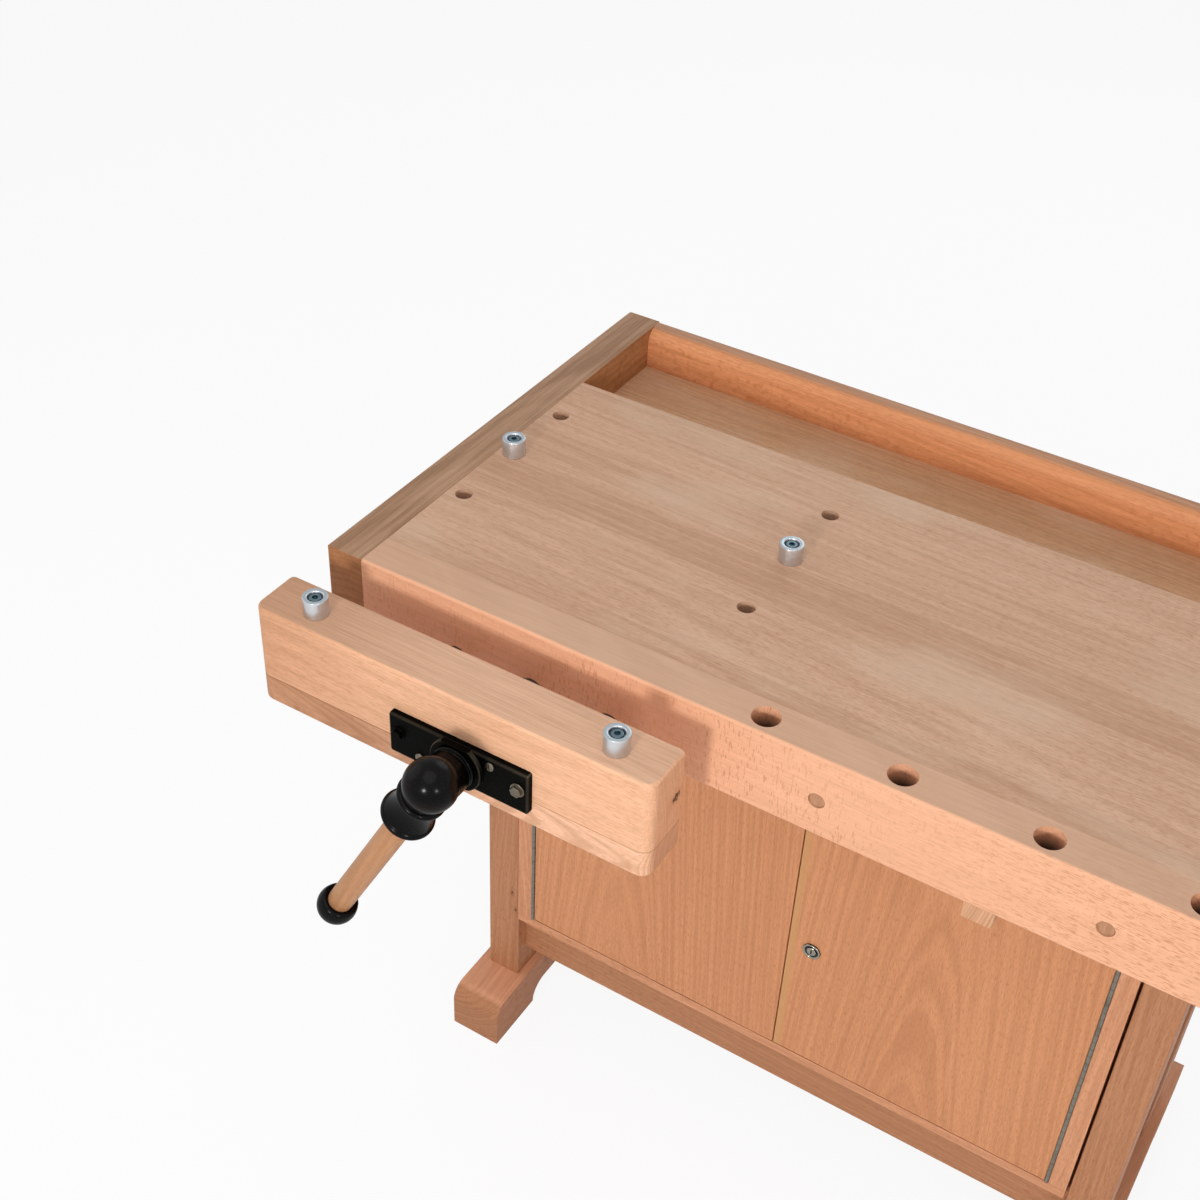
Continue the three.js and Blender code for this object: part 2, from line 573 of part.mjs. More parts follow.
// Cylinder lock: a fixed rose and barrel, and a plug that carries the cam behind the door
function addLock() {
  const faceY = legFrontY;
  const backY = faceY + DOOR_THICKNESS;
  const lock = new THREE.Group();
  lock.position.set(lockX, 0, lockZ);
  bench.add(lock);

  const boreRadius = LOCK_PLUG_DIAMETER / 2 + RUNNING_CLEARANCE;
  const roseRadius = LOCK_ROSE_DIAMETER / 2;
  const roseFrontY = faceY - SEAT_CLEARANCE - LOCK_ROSE_THICKNESS;
  const housing = turned([
    [boreRadius, roseFrontY],
    [boreRadius, backY],
    [LOCK_BARREL_DIAMETER / 2, backY],
    [LOCK_BARREL_DIAMETER / 2, faceY - SEAT_CLEARANCE],
    [roseRadius, faceY - SEAT_CLEARANCE],
    [roseRadius, roseFrontY + LOCK_ROSE_THICKNESS / 2],
    [roseRadius - LOCK_ROSE_THICKNESS / 2, roseFrontY],
    [boreRadius, roseFrontY],
  ].reverse());
  addPiece(lock, 'lock_housing', housing, NICKEL);

  const plugEndY = backY + PASSING_CLEARANCE;
  const plug = barAlongY(LOCK_PLUG_DIAMETER, roseFrontY, plugEndY, 0, 0);
  const keyway = block(-KEYWAY_WIDTH / 2, KEYWAY_WIDTH / 2, roseFrontY - CUT_OVERRUN,
    roseFrontY + KEYWAY_DEPTH, -KEYWAY_HEIGHT / 2, KEYWAY_HEIGHT / 2);
  addPiece(lock, 'lock_plug', cut(plug, keyway), NICKEL);

  const half = LOCK_CAM_WIDTH / 2;
  const camOutline = roundedRect(-half, -LOCK_CAM_LENGTH, half, half, Array(4).fill(LOCK_CAM_CORNER));
  addPiece(lock, 'lock_cam', extrudeY(camOutline, plugEndY, plugEndY + LOCK_CAM_THICKNESS), STEEL);
}

// Turned hub around the handle's axis, drawn with the axis upright: bell below, ball on top
function hubProfile() {
  const ballRadius = BALL_DIAMETER / 2;
  const beadTop = BALL_RISE - ballRadius * Math.sin(Math.PI / 4);
  const beadRadius = BEAD_HEIGHT / 2;
  const beadCentre = [BEAD_DIAMETER / 2 - beadRadius, beadTop - beadRadius];
  const bellRadius = BELL_DIAMETER / 2;
  const coveTop = beadTop - BEAD_HEIGHT;
  return [
    [0, -BELL_DROP],
    ...arcPoints([bellRadius - beadRadius, -BELL_DROP + beadRadius], beadRadius, -90, 60, 3),
    ...arcPoints([COVE_DIAMETER / 2, 0], bellRadius - COVE_DIAMETER / 2, -20, 80, 3),
    [COVE_DIAMETER / 2, coveTop],
    ...arcPoints(beadCentre, beadRadius, -70, 70, 3),
    ...arcPoints([0, BALL_RISE], ballRadius, -42, 76, 7),
    [0, BALL_RISE + ballRadius],
  ];
}

function capProfile() {
  const radius = CAP_DIAMETER / 2;
  const lip = CAP_LIP_RADIUS;
  return [
    [0, -CAP_LENGTH],
    ...arcPoints([0, -CAP_LENGTH + radius], radius, -72, 0, 4),
    ...arcPoints([radius - lip, -lip], lip, 0, 90, 3),
    [0, 0],
  ];
}

// The hub, its bar and its cap, hung from the screw's axis at a tilt seen from the front
function addHandle(vise, prefix, hubY, bossFrontY, tiltDegrees) {
  const tilt = new THREE.Matrix4().makeRotationY(THREE.MathUtils.degToRad(tiltDegrees));
  const upright = new THREE.Matrix4().makeRotationX(Math.PI / 2);
  const place = new THREE.Matrix4().makeTranslation(0, hubY, 0).multiply(tilt).multiply(upright);

  const neck = barAlongY(NECK_DIAMETER, hubY, bossFrontY - SEAT_CLEARANCE, 0, 0);
  const screwSocketEnd = bossFrontY - SCREW_SOCKET_DEPTH - SEAT_CLEARANCE;
  const screwSocketDiameter = clearHole(SCREW_DIAMETER, SEAT_CLEARANCE);
  const screwSocket = barAlongY(screwSocketDiameter, screwSocketEnd, bossFrontY + CUT_OVERRUN, 0, 0);
  const barSocketTop = -BELL_DROP + BAR_SOCKET_DEPTH + SEAT_CLEARANCE;
  const barSocket = roundBar(clearHole(BAR_DIAMETER, SEAT_CLEARANCE), BELL_DROP * 2, ROUND_SEGMENTS);
  barSocket.translate(0, barSocketTop - BELL_DROP, 0).applyMatrix4(place);
  const turnedHub = turned(hubProfile()).applyMatrix4(place);
  addPiece(vise, `${prefix}_handle_hub`, cut(join(turnedHub, neck), screwSocket, barSocket), BLACK_LACQUER);

  const barTop = -BELL_DROP + BAR_SOCKET_DEPTH;
  const bar = roundBar(BAR_DIAMETER, BAR_LENGTH, ROUND_SEGMENTS).translate(0, barTop - BAR_LENGTH / 2, 0);
  addPiece(vise, `${prefix}_handle_bar`, bar.applyMatrix4(place), TURNED_BEECH);

  const capLip = barTop - BAR_LENGTH + CAP_SOCKET_DEPTH;
  const capSocket = roundBar(clearHole(BAR_DIAMETER, SEAT_CLEARANCE), CAP_SOCKET_DEPTH * 2, ROUND_SEGMENTS);
  capSocket.translate(0, -SEAT_CLEARANCE, 0);
  const cap = cut(turned(capProfile()), capSocket).translate(0, capLip, 0);
  addPiece(vise, `${prefix}_handle_cap`, cap.applyMatrix4(place), BLACK_LACQUER);
}

// Wooden jaw, with its bores, in the vise's own frame: X along the edge, -Y away from the bench,
// origin on the screw's axis in the plane of the bench's edge
function jawSolid(gap, jawX0, jawX1, verticalHoles) {
  const frontY = -gap - JAW_THICKNESS;
  const corner = JAW_CORNER_RADIUS;
  const backCorner = JAW_BACK_CORNER_RADIUS;
  const outline = roundedRect(jawX0, frontY, jawX1, -gap, [corner, corner, backCorner, backCorner]);
  const plank = extrudeZ(outline, screwDrop - JAW_HEIGHT, screwDrop, JAW_ROUND);
  const screwBore = barAlongY(screwPassage, frontY - CUT_OVERRUN, -gap + CUT_OVERRUN, 0, 0);
  const rodSocket = clearHole(GUIDE_ROD_DIAMETER, SEAT_CLEARANCE);
  const rodBores = guideOffsets.map((x) =>
    barAlongY(rodSocket, -gap - GUIDE_ROD_SEAT, -gap + CUT_OVERRUN, x, 0));
  const lowZ = screwDrop - JAW_HEIGHT - CUT_OVERRUN;
  const dogBores = verticalHoles.map(({ x, y, diameter }) =>
    barAlongZ(diameter, lowZ, screwDrop + CUT_OVERRUN, x, y));
  return cut(plank, screwBore, ...rodBores, ...dogBores);
}

function addVisePlate(vise, prefix, jawFrontY) {
  const [halfX, halfZ] = [VISE_PLATE_LENGTH / 2, VISE_PLATE_HEIGHT / 2];
  const outline = roundedRect(-halfX, -halfZ, halfX, halfZ, Array(4).fill(VISE_PLATE_CORNER));
  const plateFrontY = jawFrontY - VISE_PLATE_THICKNESS;
  const plate = extrudeY(outline, plateFrontY, jawFrontY, VISE_PLATE_ROUND);
  const bossFrontY = plateFrontY - VISE_BOSS_THICKNESS;
  const boss = barAlongY(VISE_BOSS_DIAMETER, bossFrontY, jawFrontY - VISE_PLATE_ROUND, 0, 0);
  const bore = clearHole(SCREW_DIAMETER, RUNNING_CLEARANCE);
  const screwBore = barAlongY(bore, bossFrontY - CUT_OVERRUN, jawFrontY + CUT_OVERRUN, 0, 0);
  const trimZ = halfZ + VISE_BOSS_DIAMETER;
  const above = block(-halfX, halfX, bossFrontY - CUT_OVERRUN, jawFrontY + CUT_OVERRUN, halfZ, trimZ);
  const below = block(-halfX, halfX, bossFrontY - CUT_OVERRUN, jawFrontY + CUT_OVERRUN, -trimZ, -halfZ);
  addPiece(vise, `${prefix}_vise_plate`, cut(join(plate, boss), screwBore, above, below), CAST_IRON);
  return bossFrontY;
}

// Casting behind the bench's edge: the nut for the screw and the two guides for the rods
function addNutCasting(vise, prefix, edgeThickness) {
  const plateY = edgeThickness + SEAT_CLEARANCE;
  const plateBackY = plateY + GUIDE_PLATE_THICKNESS;
  const bossBackY = plateBackY + GUIDE_BOSS_LENGTH;
  const halfX = guideSpread + guideBossRadius + GUIDE_PLATE_MARGIN;
  const halfZ = guideBossRadius;
  const outline = roundedRect(-halfX, -halfZ, halfX, halfZ, Array(4).fill(GUIDE_PLATE_MARGIN));
  const plate = extrudeY(outline, plateY, plateBackY);
  const bores = [
    { x: 0, diameter: SCREW_DIAMETER },
    ...guideOffsets.map((x) => ({ x, diameter: GUIDE_ROD_DIAMETER })),
  ];
  const bosses = bores.map(({ x }) => barAlongY(guideBossRadius * 2, plateY + CUT_OVERRUN, bossBackY, x, 0));
  const rib = block(-guideSpread, guideSpread, plateY + CUT_OVERRUN,
    plateBackY + GUIDE_BOSS_LENGTH / 2, -GUIDE_BOSS_WALL / 2, GUIDE_BOSS_WALL / 2);
  const holes = bores.map(({ x, diameter }) =>
    barAlongY(clearHole(diameter, RUNNING_CLEARANCE), plateY - CUT_OVERRUN, bossBackY + CUT_OVERRUN, x, 0));
  addPiece(vise, `${prefix}_vise_nut`, cut(join(plate, ...bosses, rib), ...holes), CAST_IRON);
}

function addScrewAndRods(vise, prefix, gap, bossFrontY) {
  const tailY = SCREW_TAIL - gap;
  const radius = SCREW_DIAMETER / 2;
  const screw = turned([
    [0, bossFrontY - SCREW_SOCKET_DEPTH],
    [radius, bossFrontY - SCREW_SOCKET_DEPTH],
    [radius, tailY - SCREW_CHAMFER],
    [radius - SCREW_CHAMFER, tailY],
    [0, tailY],
  ]);
  addPiece(vise, `${prefix}_vise_screw`, screw, STEEL);
  const rodNames = ['left', 'right'];
  guideOffsets.forEach((x, i) => {
    const rod = barAlongY(GUIDE_ROD_DIAMETER, -gap - GUIDE_ROD_SEAT, tailY, x, 0);
    addPiece(vise, `${prefix}_${rodNames[i]}_guide_rod`, rod, STEEL);
  });
}

function addViseHardware(vise, prefix, gap, edgeThickness, handleTilt) {
  const jawFrontY = -gap - JAW_THICKNESS;
  const bossFrontY = addVisePlate(vise, prefix, jawFrontY);
  addNutCasting(vise, prefix, edgeThickness);
  addScrewAndRods(vise, prefix, gap, bossFrontY);
  addHandle(vise, prefix, bossFrontY - NECK_LENGTH, bossFrontY, handleTilt);
}

function addFrontVise() {
  const vise = new THREE.Group();
  vise.position.set(FRONT_SCREW_X, 0, screwZ);
  bench.add(vise);
  const jawX0 = FRONT_JAW_START_X - FRONT_SCREW_X;
  const jawX1 = jawX0 + FRONT_JAW_LENGTH;
  const dogHoles = dogXs.map((x) => ({ x: x - FRONT_SCREW_X, y: frontJawDogY, diameter: DOG_HOLE_DIAMETER }));
  const jaw = jawSolid(FRONT_VISE_GAP, jawX0, jawX1, dogHoles);

  // The jaw is glued up from a deep upper ply and a lower strip
  const glueZ = screwDrop - JAW_UPPER_PLY;
  const reach = FRONT_JAW_LENGTH;
  const lowerHalf = block(-reach, reach, -reach, reach, -reach, glueZ);
  const upperHalf = block(-reach, reach, -reach, reach, glueZ, reach);
  addPiece(vise, 'front_jaw', cut(jaw, lowerHalf), BEECH);
  addPiece(vise, 'front_jaw_lower_strip', cut(jaw, upperHalf), WORN_BEECH);
  addViseHardware(vise, 'front', FRONT_VISE_GAP, APRON_THICKNESS, FRONT_HANDLE_TILT);
}

function addEndVise() {
  const vise = new THREE.Group();
  vise.position.set(BENCH_LENGTH, endScrewY, screwZ);
  vise.rotation.z = Math.PI / 2;
  bench.add(vise);
  const dogHole = {
    x: edgeHoleY - endScrewY,
    y: -END_VISE_GAP - JAW_THICKNESS / 2,
    diameter: EDGE_HOLE_DIAMETER,
  };
  const jaw = jawSolid(END_VISE_GAP, -endScrewY, endScrewY, [dogHole]);
  addPiece(vise, 'end_jaw', jaw, BEECH);
  addViseHardware(vise, 'end', END_VISE_GAP, END_CAP_WIDTH, END_HANDLE_TILT);
}

// Bench dog: a turned aluminium head with a recess for its screw, on a plain shank
function dogProfile() {
  const headRadius = DOG_HEAD_DIAMETER / 2;
  const shankRadius = DOG_HOLE_DIAMETER / 2 - RUNNING_CLEARANCE;
  const recessRadius = DOG_RECESS_DIAMETER / 2;
  return [
    [0, -DOG_SHANK_LENGTH],
    [shankRadius - DOG_HEAD_CHAMFER, -DOG_SHANK_LENGTH],
    [shankRadius, -DOG_SHANK_LENGTH + DOG_HEAD_CHAMFER],
    [shankRadius, 0],
    [headRadius, 0],
    [headRadius, DOG_HEAD_HEIGHT - DOG_HEAD_CHAMFER],
    [headRadius - DOG_HEAD_CHAMFER, DOG_HEAD_HEIGHT],
    [recessRadius, DOG_HEAD_HEIGHT],
    [recessRadius, DOG_HEAD_HEIGHT - DOG_RECESS_DEPTH],
    [0, DOG_HEAD_HEIGHT - DOG_RECESS_DEPTH],
  ];
}

function addBenchDogs() {
  const middleRowY = dogRowYs[Math.floor(DOG_ROWS / 2)];
  const places = {
    jaw_left: [dogXs[0], frontJawDogY],
    jaw_right: [dogXs[1], frontJawDogY],
    top_left: [dogXs[0], middleRowY],
    top_right: [dogXs[1], middleRowY],
  };
  for (const [place, [x, y]] of Object.entries(places)) {
    const dog = turned(dogProfile()).rotateX(Math.PI / 2);
    addPiece(bench, `bench_dog_${place}`, dog, ALUMINIUM).position.set(x, y, topZ);
  }
}

addFrontApron();
addApronPlugs();
addTopSlab();
addEndCaps();
addToolTray();
addCrossBearer();
addTrestle('left', leftLegX);
addTrestle('right', rightLegX);
addStretchers();
addCabinetCase();
addDoors();
addHinges();
addLock();
addFrontVise();
addEndVise();
addBenchDogs();

// The origin is the middle of the whole bench's footprint, on the floor
const box = new THREE.Box3().setFromObject(bench, true);
const centre = box.getCenter(new THREE.Vector3());
bench.position.set(-centre.x, -centre.y, -box.min.z);

export default bench;
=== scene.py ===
# %% [markdown]
# # A joiner's bench with two vises
#
# The bench is beech: a thick glued top with a tool tray, a deep front apron, trestle legs on sled
# feet and a small cabinet. A front vise and an end vise hold the work between round bench dogs.
# The CAD frame already has every piece at its true size and place, so most lengths here come from
# it: the lesson asks for each piece's box and builds the softer, finer piece inside that box.

import json
import math

import bpy
import numpy as np
from mathutils import Matrix, Vector

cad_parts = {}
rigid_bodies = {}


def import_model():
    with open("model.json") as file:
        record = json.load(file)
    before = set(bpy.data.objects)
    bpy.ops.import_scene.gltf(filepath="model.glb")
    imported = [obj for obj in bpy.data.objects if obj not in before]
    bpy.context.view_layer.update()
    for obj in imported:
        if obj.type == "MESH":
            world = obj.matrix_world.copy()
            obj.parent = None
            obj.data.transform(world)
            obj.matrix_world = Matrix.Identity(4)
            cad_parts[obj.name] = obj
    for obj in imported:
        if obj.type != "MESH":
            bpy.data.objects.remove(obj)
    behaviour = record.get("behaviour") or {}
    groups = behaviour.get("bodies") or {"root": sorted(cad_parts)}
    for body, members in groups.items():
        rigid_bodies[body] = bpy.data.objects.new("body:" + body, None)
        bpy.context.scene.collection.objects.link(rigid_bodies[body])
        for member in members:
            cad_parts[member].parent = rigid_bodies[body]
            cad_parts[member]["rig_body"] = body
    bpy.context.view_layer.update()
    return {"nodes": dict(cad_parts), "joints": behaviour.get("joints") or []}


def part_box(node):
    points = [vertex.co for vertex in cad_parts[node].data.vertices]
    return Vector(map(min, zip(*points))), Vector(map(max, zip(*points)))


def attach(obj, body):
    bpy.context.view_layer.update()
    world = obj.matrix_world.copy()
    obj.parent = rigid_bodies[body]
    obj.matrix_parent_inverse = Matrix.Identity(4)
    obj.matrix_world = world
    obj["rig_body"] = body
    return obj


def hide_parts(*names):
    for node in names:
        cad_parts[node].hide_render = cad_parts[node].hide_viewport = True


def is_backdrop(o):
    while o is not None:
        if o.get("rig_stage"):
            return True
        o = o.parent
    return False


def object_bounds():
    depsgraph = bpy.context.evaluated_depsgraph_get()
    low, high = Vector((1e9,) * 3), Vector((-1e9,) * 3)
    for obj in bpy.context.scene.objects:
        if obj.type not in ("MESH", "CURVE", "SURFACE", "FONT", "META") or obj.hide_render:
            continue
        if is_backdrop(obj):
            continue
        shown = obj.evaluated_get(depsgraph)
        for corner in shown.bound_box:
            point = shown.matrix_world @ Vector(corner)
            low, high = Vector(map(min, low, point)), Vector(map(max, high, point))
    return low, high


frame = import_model()
nodes = frame["nodes"]
left_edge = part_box("left_end_cap")[0].x
front_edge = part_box("front_apron")[0].y
bench_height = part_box("bench_top")[1].z
print(f"{len(nodes)} solids, top {bench_height * 1000:.0f} mm above the floor")


# %% [markdown]
# ## One piece at a time
#
# Most operators act on whatever is selected, and the frame arrives with all of its solids selected.
# So every step starts by deselecting everything and picking the piece it means. The same small
# helpers start a piece from a primitive, and add a modifier and apply it at once. Modifiers could
# stay live, but an applied one leaves a plain mesh that nothing can disturb later.

# %% Picking, starting and shaping a piece
def pick(*pieces):
    bpy.ops.object.select_all(action="DESELECT")
    for piece in pieces:
        piece.select_set(True)
    bpy.context.view_layer.objects.active = pieces[0]


def blank(name, add_primitive, scale=(1, 1, 1), **settings):
    bpy.ops.object.select_all(action="DESELECT")
    add_primitive(**settings)
    piece = bpy.context.object
    piece.name = name
    piece.scale = scale
    bpy.ops.object.transform_apply(location=True, rotation=True, scale=True)
    return piece


def shaped_by(piece, modifier_type, **settings):
    pick(piece)
    bpy.ops.object.modifier_add(type=modifier_type)
    modifier = piece.modifiers[-1]
    for setting, value in settings.items():
        setattr(modifier, setting, value)
    bpy.ops.object.modifier_apply(modifier=modifier.name)
    return piece


def put(piece, matrix):
    piece.matrix_world = matrix
    pick(piece)
    bpy.ops.object.transform_apply(location=True, rotation=True, scale=True)
    return piece


print("ready to pick, start, shape and put pieces")


# %% [markdown]
# ## Sawing a block and rounding its arrises
#
# A joiner starts from a squared block, and so does this file: a cube is scaled to the box of the
# solid that it stands for. A Bevel modifier could round every edge at once, but that would open the
# glued joints. So edges are found by the faces they lie on, in the words a joiner would use, such
# as "front top", and only the edges that a hand can reach are rounded. A rounding is given as its
# radius and its number of steps.

# %% Blocks and named edges
SIDES = {
    "left": (0, 0),
    "right": (0, 1),
    "front": (1, 0),
    "back": (1, 1),
    "bottom": (2, 0),
    "top": (2, 1),
}
ON_FACE = 1e-6
SHARP = math.radians(32)


def block(name, low, high):
    cube = bpy.ops.mesh.primitive_cube_add
    return blank(name, cube, scale=high - low, size=1, location=(low + high) / 2)


def choose_edges(piece, *places):
    corners = np.array([v.co for v in piece.data.vertices])
    limits = (corners.min(0), corners.max(0))
    pick(piece)
    bpy.ops.object.mode_set(mode="EDIT")
    bpy.ops.mesh.select_mode(type="EDGE")
    bpy.ops.mesh.select_all(action="DESELECT")
    bpy.ops.object.mode_set(mode="OBJECT")
    for edge in piece.data.edges:
        ends = corners[list(edge.vertices)]
        for place in places:
            axes = [SIDES[word] for word in place.split()]
            edge.select |= all((abs(ends[:, a] - limits[s][a]) < ON_FACE).all() for a, s in axes)
    bpy.ops.object.mode_set(mode="EDIT")


def round_edges(piece, rounding, *places):
    radius, steps = rounding
    choose_edges(piece, *places)
    bpy.ops.mesh.bevel(offset=radius, segments=steps, affect="EDGES")
    bpy.ops.object.mode_set(mode="OBJECT")
    return piece


def soften(piece, width=0.0004, segments=2):
    pick(piece)
    bpy.ops.object.shade_smooth()
    settings = {"limit_method": "ANGLE", "angle_limit": SHARP}
    shaped_by(piece, "BEVEL", width=width, segments=segments, **settings)
    return shaped_by(piece, "WEIGHTED_NORMAL", keep_sharp=False)


print("blocks can be sawn and their edges rounded")


# %% [markdown]
# ## Drilling
#
# A hole is a round bar taken away with a Boolean. Faces could be inset and bridged instead, but a
# Boolean also bores through edges that are already rounded. The bar has many sides, so the wall of
# the hole looks round where the plain solid has only a few flats. Faces on the wall of a dog hole
# are marked afterwards, so that the finish can paint them darker with depth, as painted shade.

# %% Boring holes
ALONG = {
    "X": Matrix.Rotation(math.pi / 2, 4, "Y"),
    "Y": Matrix.Rotation(-math.pi / 2, 4, "X"),
    "Z": Matrix.Identity(4),
}
STEEP = 0.5


def combined(piece, tool, operation):
    shaped_by(piece, "BOOLEAN", operation=operation, solver="EXACT", object=tool)
    bpy.data.objects.remove(tool)
    return piece


def taken_away(piece, tool):
    return combined(piece, tool, "DIFFERENCE")


def bore(piece, centre, diameter, length, axis, sides=48):
    cylinder = bpy.ops.mesh.primitive_cylinder_add
    drill = blank("drill", cylinder, vertices=sides, radius=diameter / 2, depth=length)
    put(drill, Matrix.Translation(centre) @ ALONG[axis])
    return taken_away(piece, drill)


def mark_bores(piece, spots, diameter):
    bored = piece.data.attributes.new("bored", "FLOAT", "FACE")
    for face in piece.data.polygons:
        near = min(math.hypot(face.center.x - spot.x, face.center.y - spot.y) for spot in spots)
        on_wall = near < diameter / 2 and abs(face.normal.z) < STEEP
        bored.data[face.index].value = float(on_wall)


def bench_point(x, y, z):
    return Vector((left_edge + x / 1000, front_edge + y / 1000, z / 1000))


def middle(node):
    low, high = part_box(node)
    return (low + high) / 2


print("holes are placed in millimetres from the bench's front left corner")


# %% [markdown]
# ## Turning on the lathe
#
# Hubs, caps, dogs, rods and screws are turned. A disc is drawn at the foot of the profile and
# extruded ring by ring, each ring scaled to its radius, which is how a profile grows in edit mode.
# The spin tool would do too, but rings keep the surface closed at both ends without a seam. A
# turned piece stands upright at first, and is then laid towards the front or the back.

# %% Turned pieces
FORWARD = Matrix.Rotation(math.pi / 2, 4, "X")
BACKWARD = ALONG["Y"]
TURNED_CREASE = math.radians(40)


def turned(name, profile, sides=64):
    radius, height = profile[0]
    piece = blank(
        name,
        bpy.ops.mesh.primitive_circle_add,
        vertices=sides,
        radius=radius / 1000,
        fill_type="NGON",
        location=(0, 0, height / 1000),
    )
    bpy.ops.object.mode_set(mode="EDIT")
    bpy.ops.mesh.select_all(action="SELECT")
    for next_radius, next_height in profile[1:]:
        rise = (0, 0, (next_height - height) / 1000)
        bpy.ops.mesh.extrude_region_move(TRANSFORM_OT_translate={"value": rise})
        scale = next_radius / radius
        bpy.ops.transform.resize(value=(scale, scale, 1))
        radius, height = next_radius, next_height
    bpy.ops.mesh.select_all(action="SELECT")
    bpy.ops.mesh.normals_make_consistent(inside=False)
    bpy.ops.object.mode_set(mode="OBJECT")
    bpy.ops.object.shade_smooth_by_angle(angle=TURNED_CREASE)
    return piece


def arc(radius_centre, height_centre, radius, start, end, steps):
    angles = [math.radians(start + (end - start) * i / steps) for i in range(steps + 1)]
    return [
        (radius_centre + radius * math.cos(a), height_centre + radius * math.sin(a)) for a in angles
    ]


print("profiles are lists of radius and height in millimetres")


# %% [markdown]
# ## Which way the grain runs
#
# Wood is not a picture on a surface: the same plank shows long lines on its face and rings on its
# end. UV maps would have to be unwrapped board by board. Instead each piece stores, for every
# corner of its mesh, where that corner lies in the log: first along the grain, then across it,
# measured from the heart of the tree. Each face also stores how squarely it cuts the fibres, and
# how much it belongs to a rounded arris. Planks follow each other along the log, and each lies a
# golden angle further round the heart, so no two show the same figure.

# %% Grain coordinates
GRAIN_AXES = {"X": (0, 1, 2), "Y": (1, 0, 2), "Z": (2, 0, 1)}
PLANK_SPACING = 3.7
HEART_DISTANCE = 0.11
GOLDEN_ANGLE = 2.399963
END_FALLOFF = 4
ARRIS_GAIN = 4
planks_cut = 0


def lay_grain(piece, axis, heart=None, turn=None):
    global planks_cut
    planks_cut += 1
    mesh = piece.data
    corners = np.array([v.co for v in mesh.vertices])
    normals = np.array([p.normal for p in mesh.polygons])
    if turn is not None:
        upright = np.array(turn.to_3x3().inverted())
        corners = corners @ upright.T
        normals = normals @ upright.T
    order = list(GRAIN_AXES[axis])
    corners = corners[:, order] - corners[:, order].mean(0)
    normals = np.abs(normals[:, order])
    spread = planks_cut * GOLDEN_ANGLE
    round_heart = HEART_DISTANCE * math.cos(spread), HEART_DISTANCE * math.sin(spread)
    place = corners + np.array([planks_cut * PLANK_SPACING, *(heart or round_heart)])
    grain = mesh.attributes.new("grain", "FLOAT_VECTOR", "POINT")
    grain.data.foreach_set("vector", place.ravel())
    end_grain = mesh.attributes.new("end_grain", "FLOAT", "FACE")
    end_grain.data.foreach_set("value", normals[:, 0] ** END_FALLOFF)
    return mark_arrises(piece)


def mark_arrises(piece):
    normals = np.abs(np.array([p.normal for p in piece.data.polygons]))
    arris = piece.data.attributes.new("arris", "FLOAT", "FACE")
    arris.data.foreach_set("value", np.clip(ARRIS_GAIN * (1 - normals.max(1)), 0, 1))
    return piece


print("pieces can be cut from the log along X, Y or Z")


# %% [markdown]
# ## Writing shaders as sums
#
# A finish is a tree of nodes, and long trees are easier to read as arithmetic than as a list of
# links. This class stands for one output of a node. Adding or multiplying two of them adds the Math
# node that does it, and the add method brings in any other kind of node with its settings and its
# inputs.

# %% Sums of sockets
class Wire:
    def __init__(self, tree, socket=None):
        self.tree = tree
        self.socket = socket

    def add(self, kind, settings=None, inputs=None, out=0):
        node = self.tree.nodes.new("ShaderNode" + kind)
        for setting, value in (settings or {}).items():
            setattr(node, setting, value)
        for key, value in (inputs or {}).items():
            if isinstance(value, Wire):
                self.tree.links.new(value.socket, node.inputs[key])
            else:
                node.inputs[key].default_value = value
        return Wire(self.tree, node.outputs[out] if node.outputs else None)

    def math(self, operation, first, second):
        return self.add("Math", {"operation": operation}, {0: first, 1: second})

    def __add__(self, other):
        return self.math("ADD", self, other)

    def __radd__(self, other):
        return self.math("ADD", other, self)

    def __sub__(self, other):
        return self.math("SUBTRACT", self, other)

    def __rsub__(self, other):
        return self.math("SUBTRACT", other, self)

    def __mul__(self, other):
        return self.math("MULTIPLY", self, other)

    def __rmul__(self, other):
        return self.math("MULTIPLY", other, self)


print("shader sums are ready")


# %% [markdown]
# ## Colours and patterns
#
# Every finish needs the same few steps: a colour written as a painter's red, green and blue, a soft
# step between two values, noise drawn out in one direction, and something stored on the mesh. They
# could be node groups, but short functions keep them readable and leave nothing hidden in the file.
# A Mix node has a set of sockets for each kind of data, so the colour ones go by number.

# %% Steps that finishes share
MIX_AMOUNT, MIX_FIRST, MIX_SECOND, MIX_RESULT = 0, 6, 7, 2


def rgb(red, green, blue):
    parts = [c / 255 for c in (red, green, blue)]
    linear = [c / 12.92 if c <= 0.04045 else ((c + 0.055) / 1.055) ** 2.4 for c in parts]
    return (*linear, 1.0)


def tinted(colour, *factors):
    return (*(min(1.0, c * f) for c, f in zip(colour, factors)), 1.0)


def new_finish(name):
    finish = bpy.data.materials.new(name)
    finish.use_nodes = True
    finish.node_tree.nodes.clear()
    return finish, Wire(finish.node_tree)


def surface(start, **inputs):
    named = {key.replace("_", " "): value for key, value in inputs.items()}
    shader = start.add("BsdfPrincipled", inputs=named)
    start.add("OutputMaterial", inputs={"Surface": shader})


def blended(start, amount, first, second, how="MIX"):
    settings = {"data_type": "RGBA", "blend_type": how}
    inputs = {MIX_AMOUNT: amount, MIX_FIRST: first, MIX_SECOND: second}
    return start.add("Mix", settings, inputs, out=MIX_RESULT)


def stepped(start, value, low, high):
    settings = {"interpolation_type": "SMOOTHSTEP"}
    return start.add("MapRange", settings, {"Value": value, "From Min": low, "From Max": high})


def stretched(start, place, *scale):
    return start.add("VectorMath", {"operation": "MULTIPLY"}, {0: place, 1: scale})


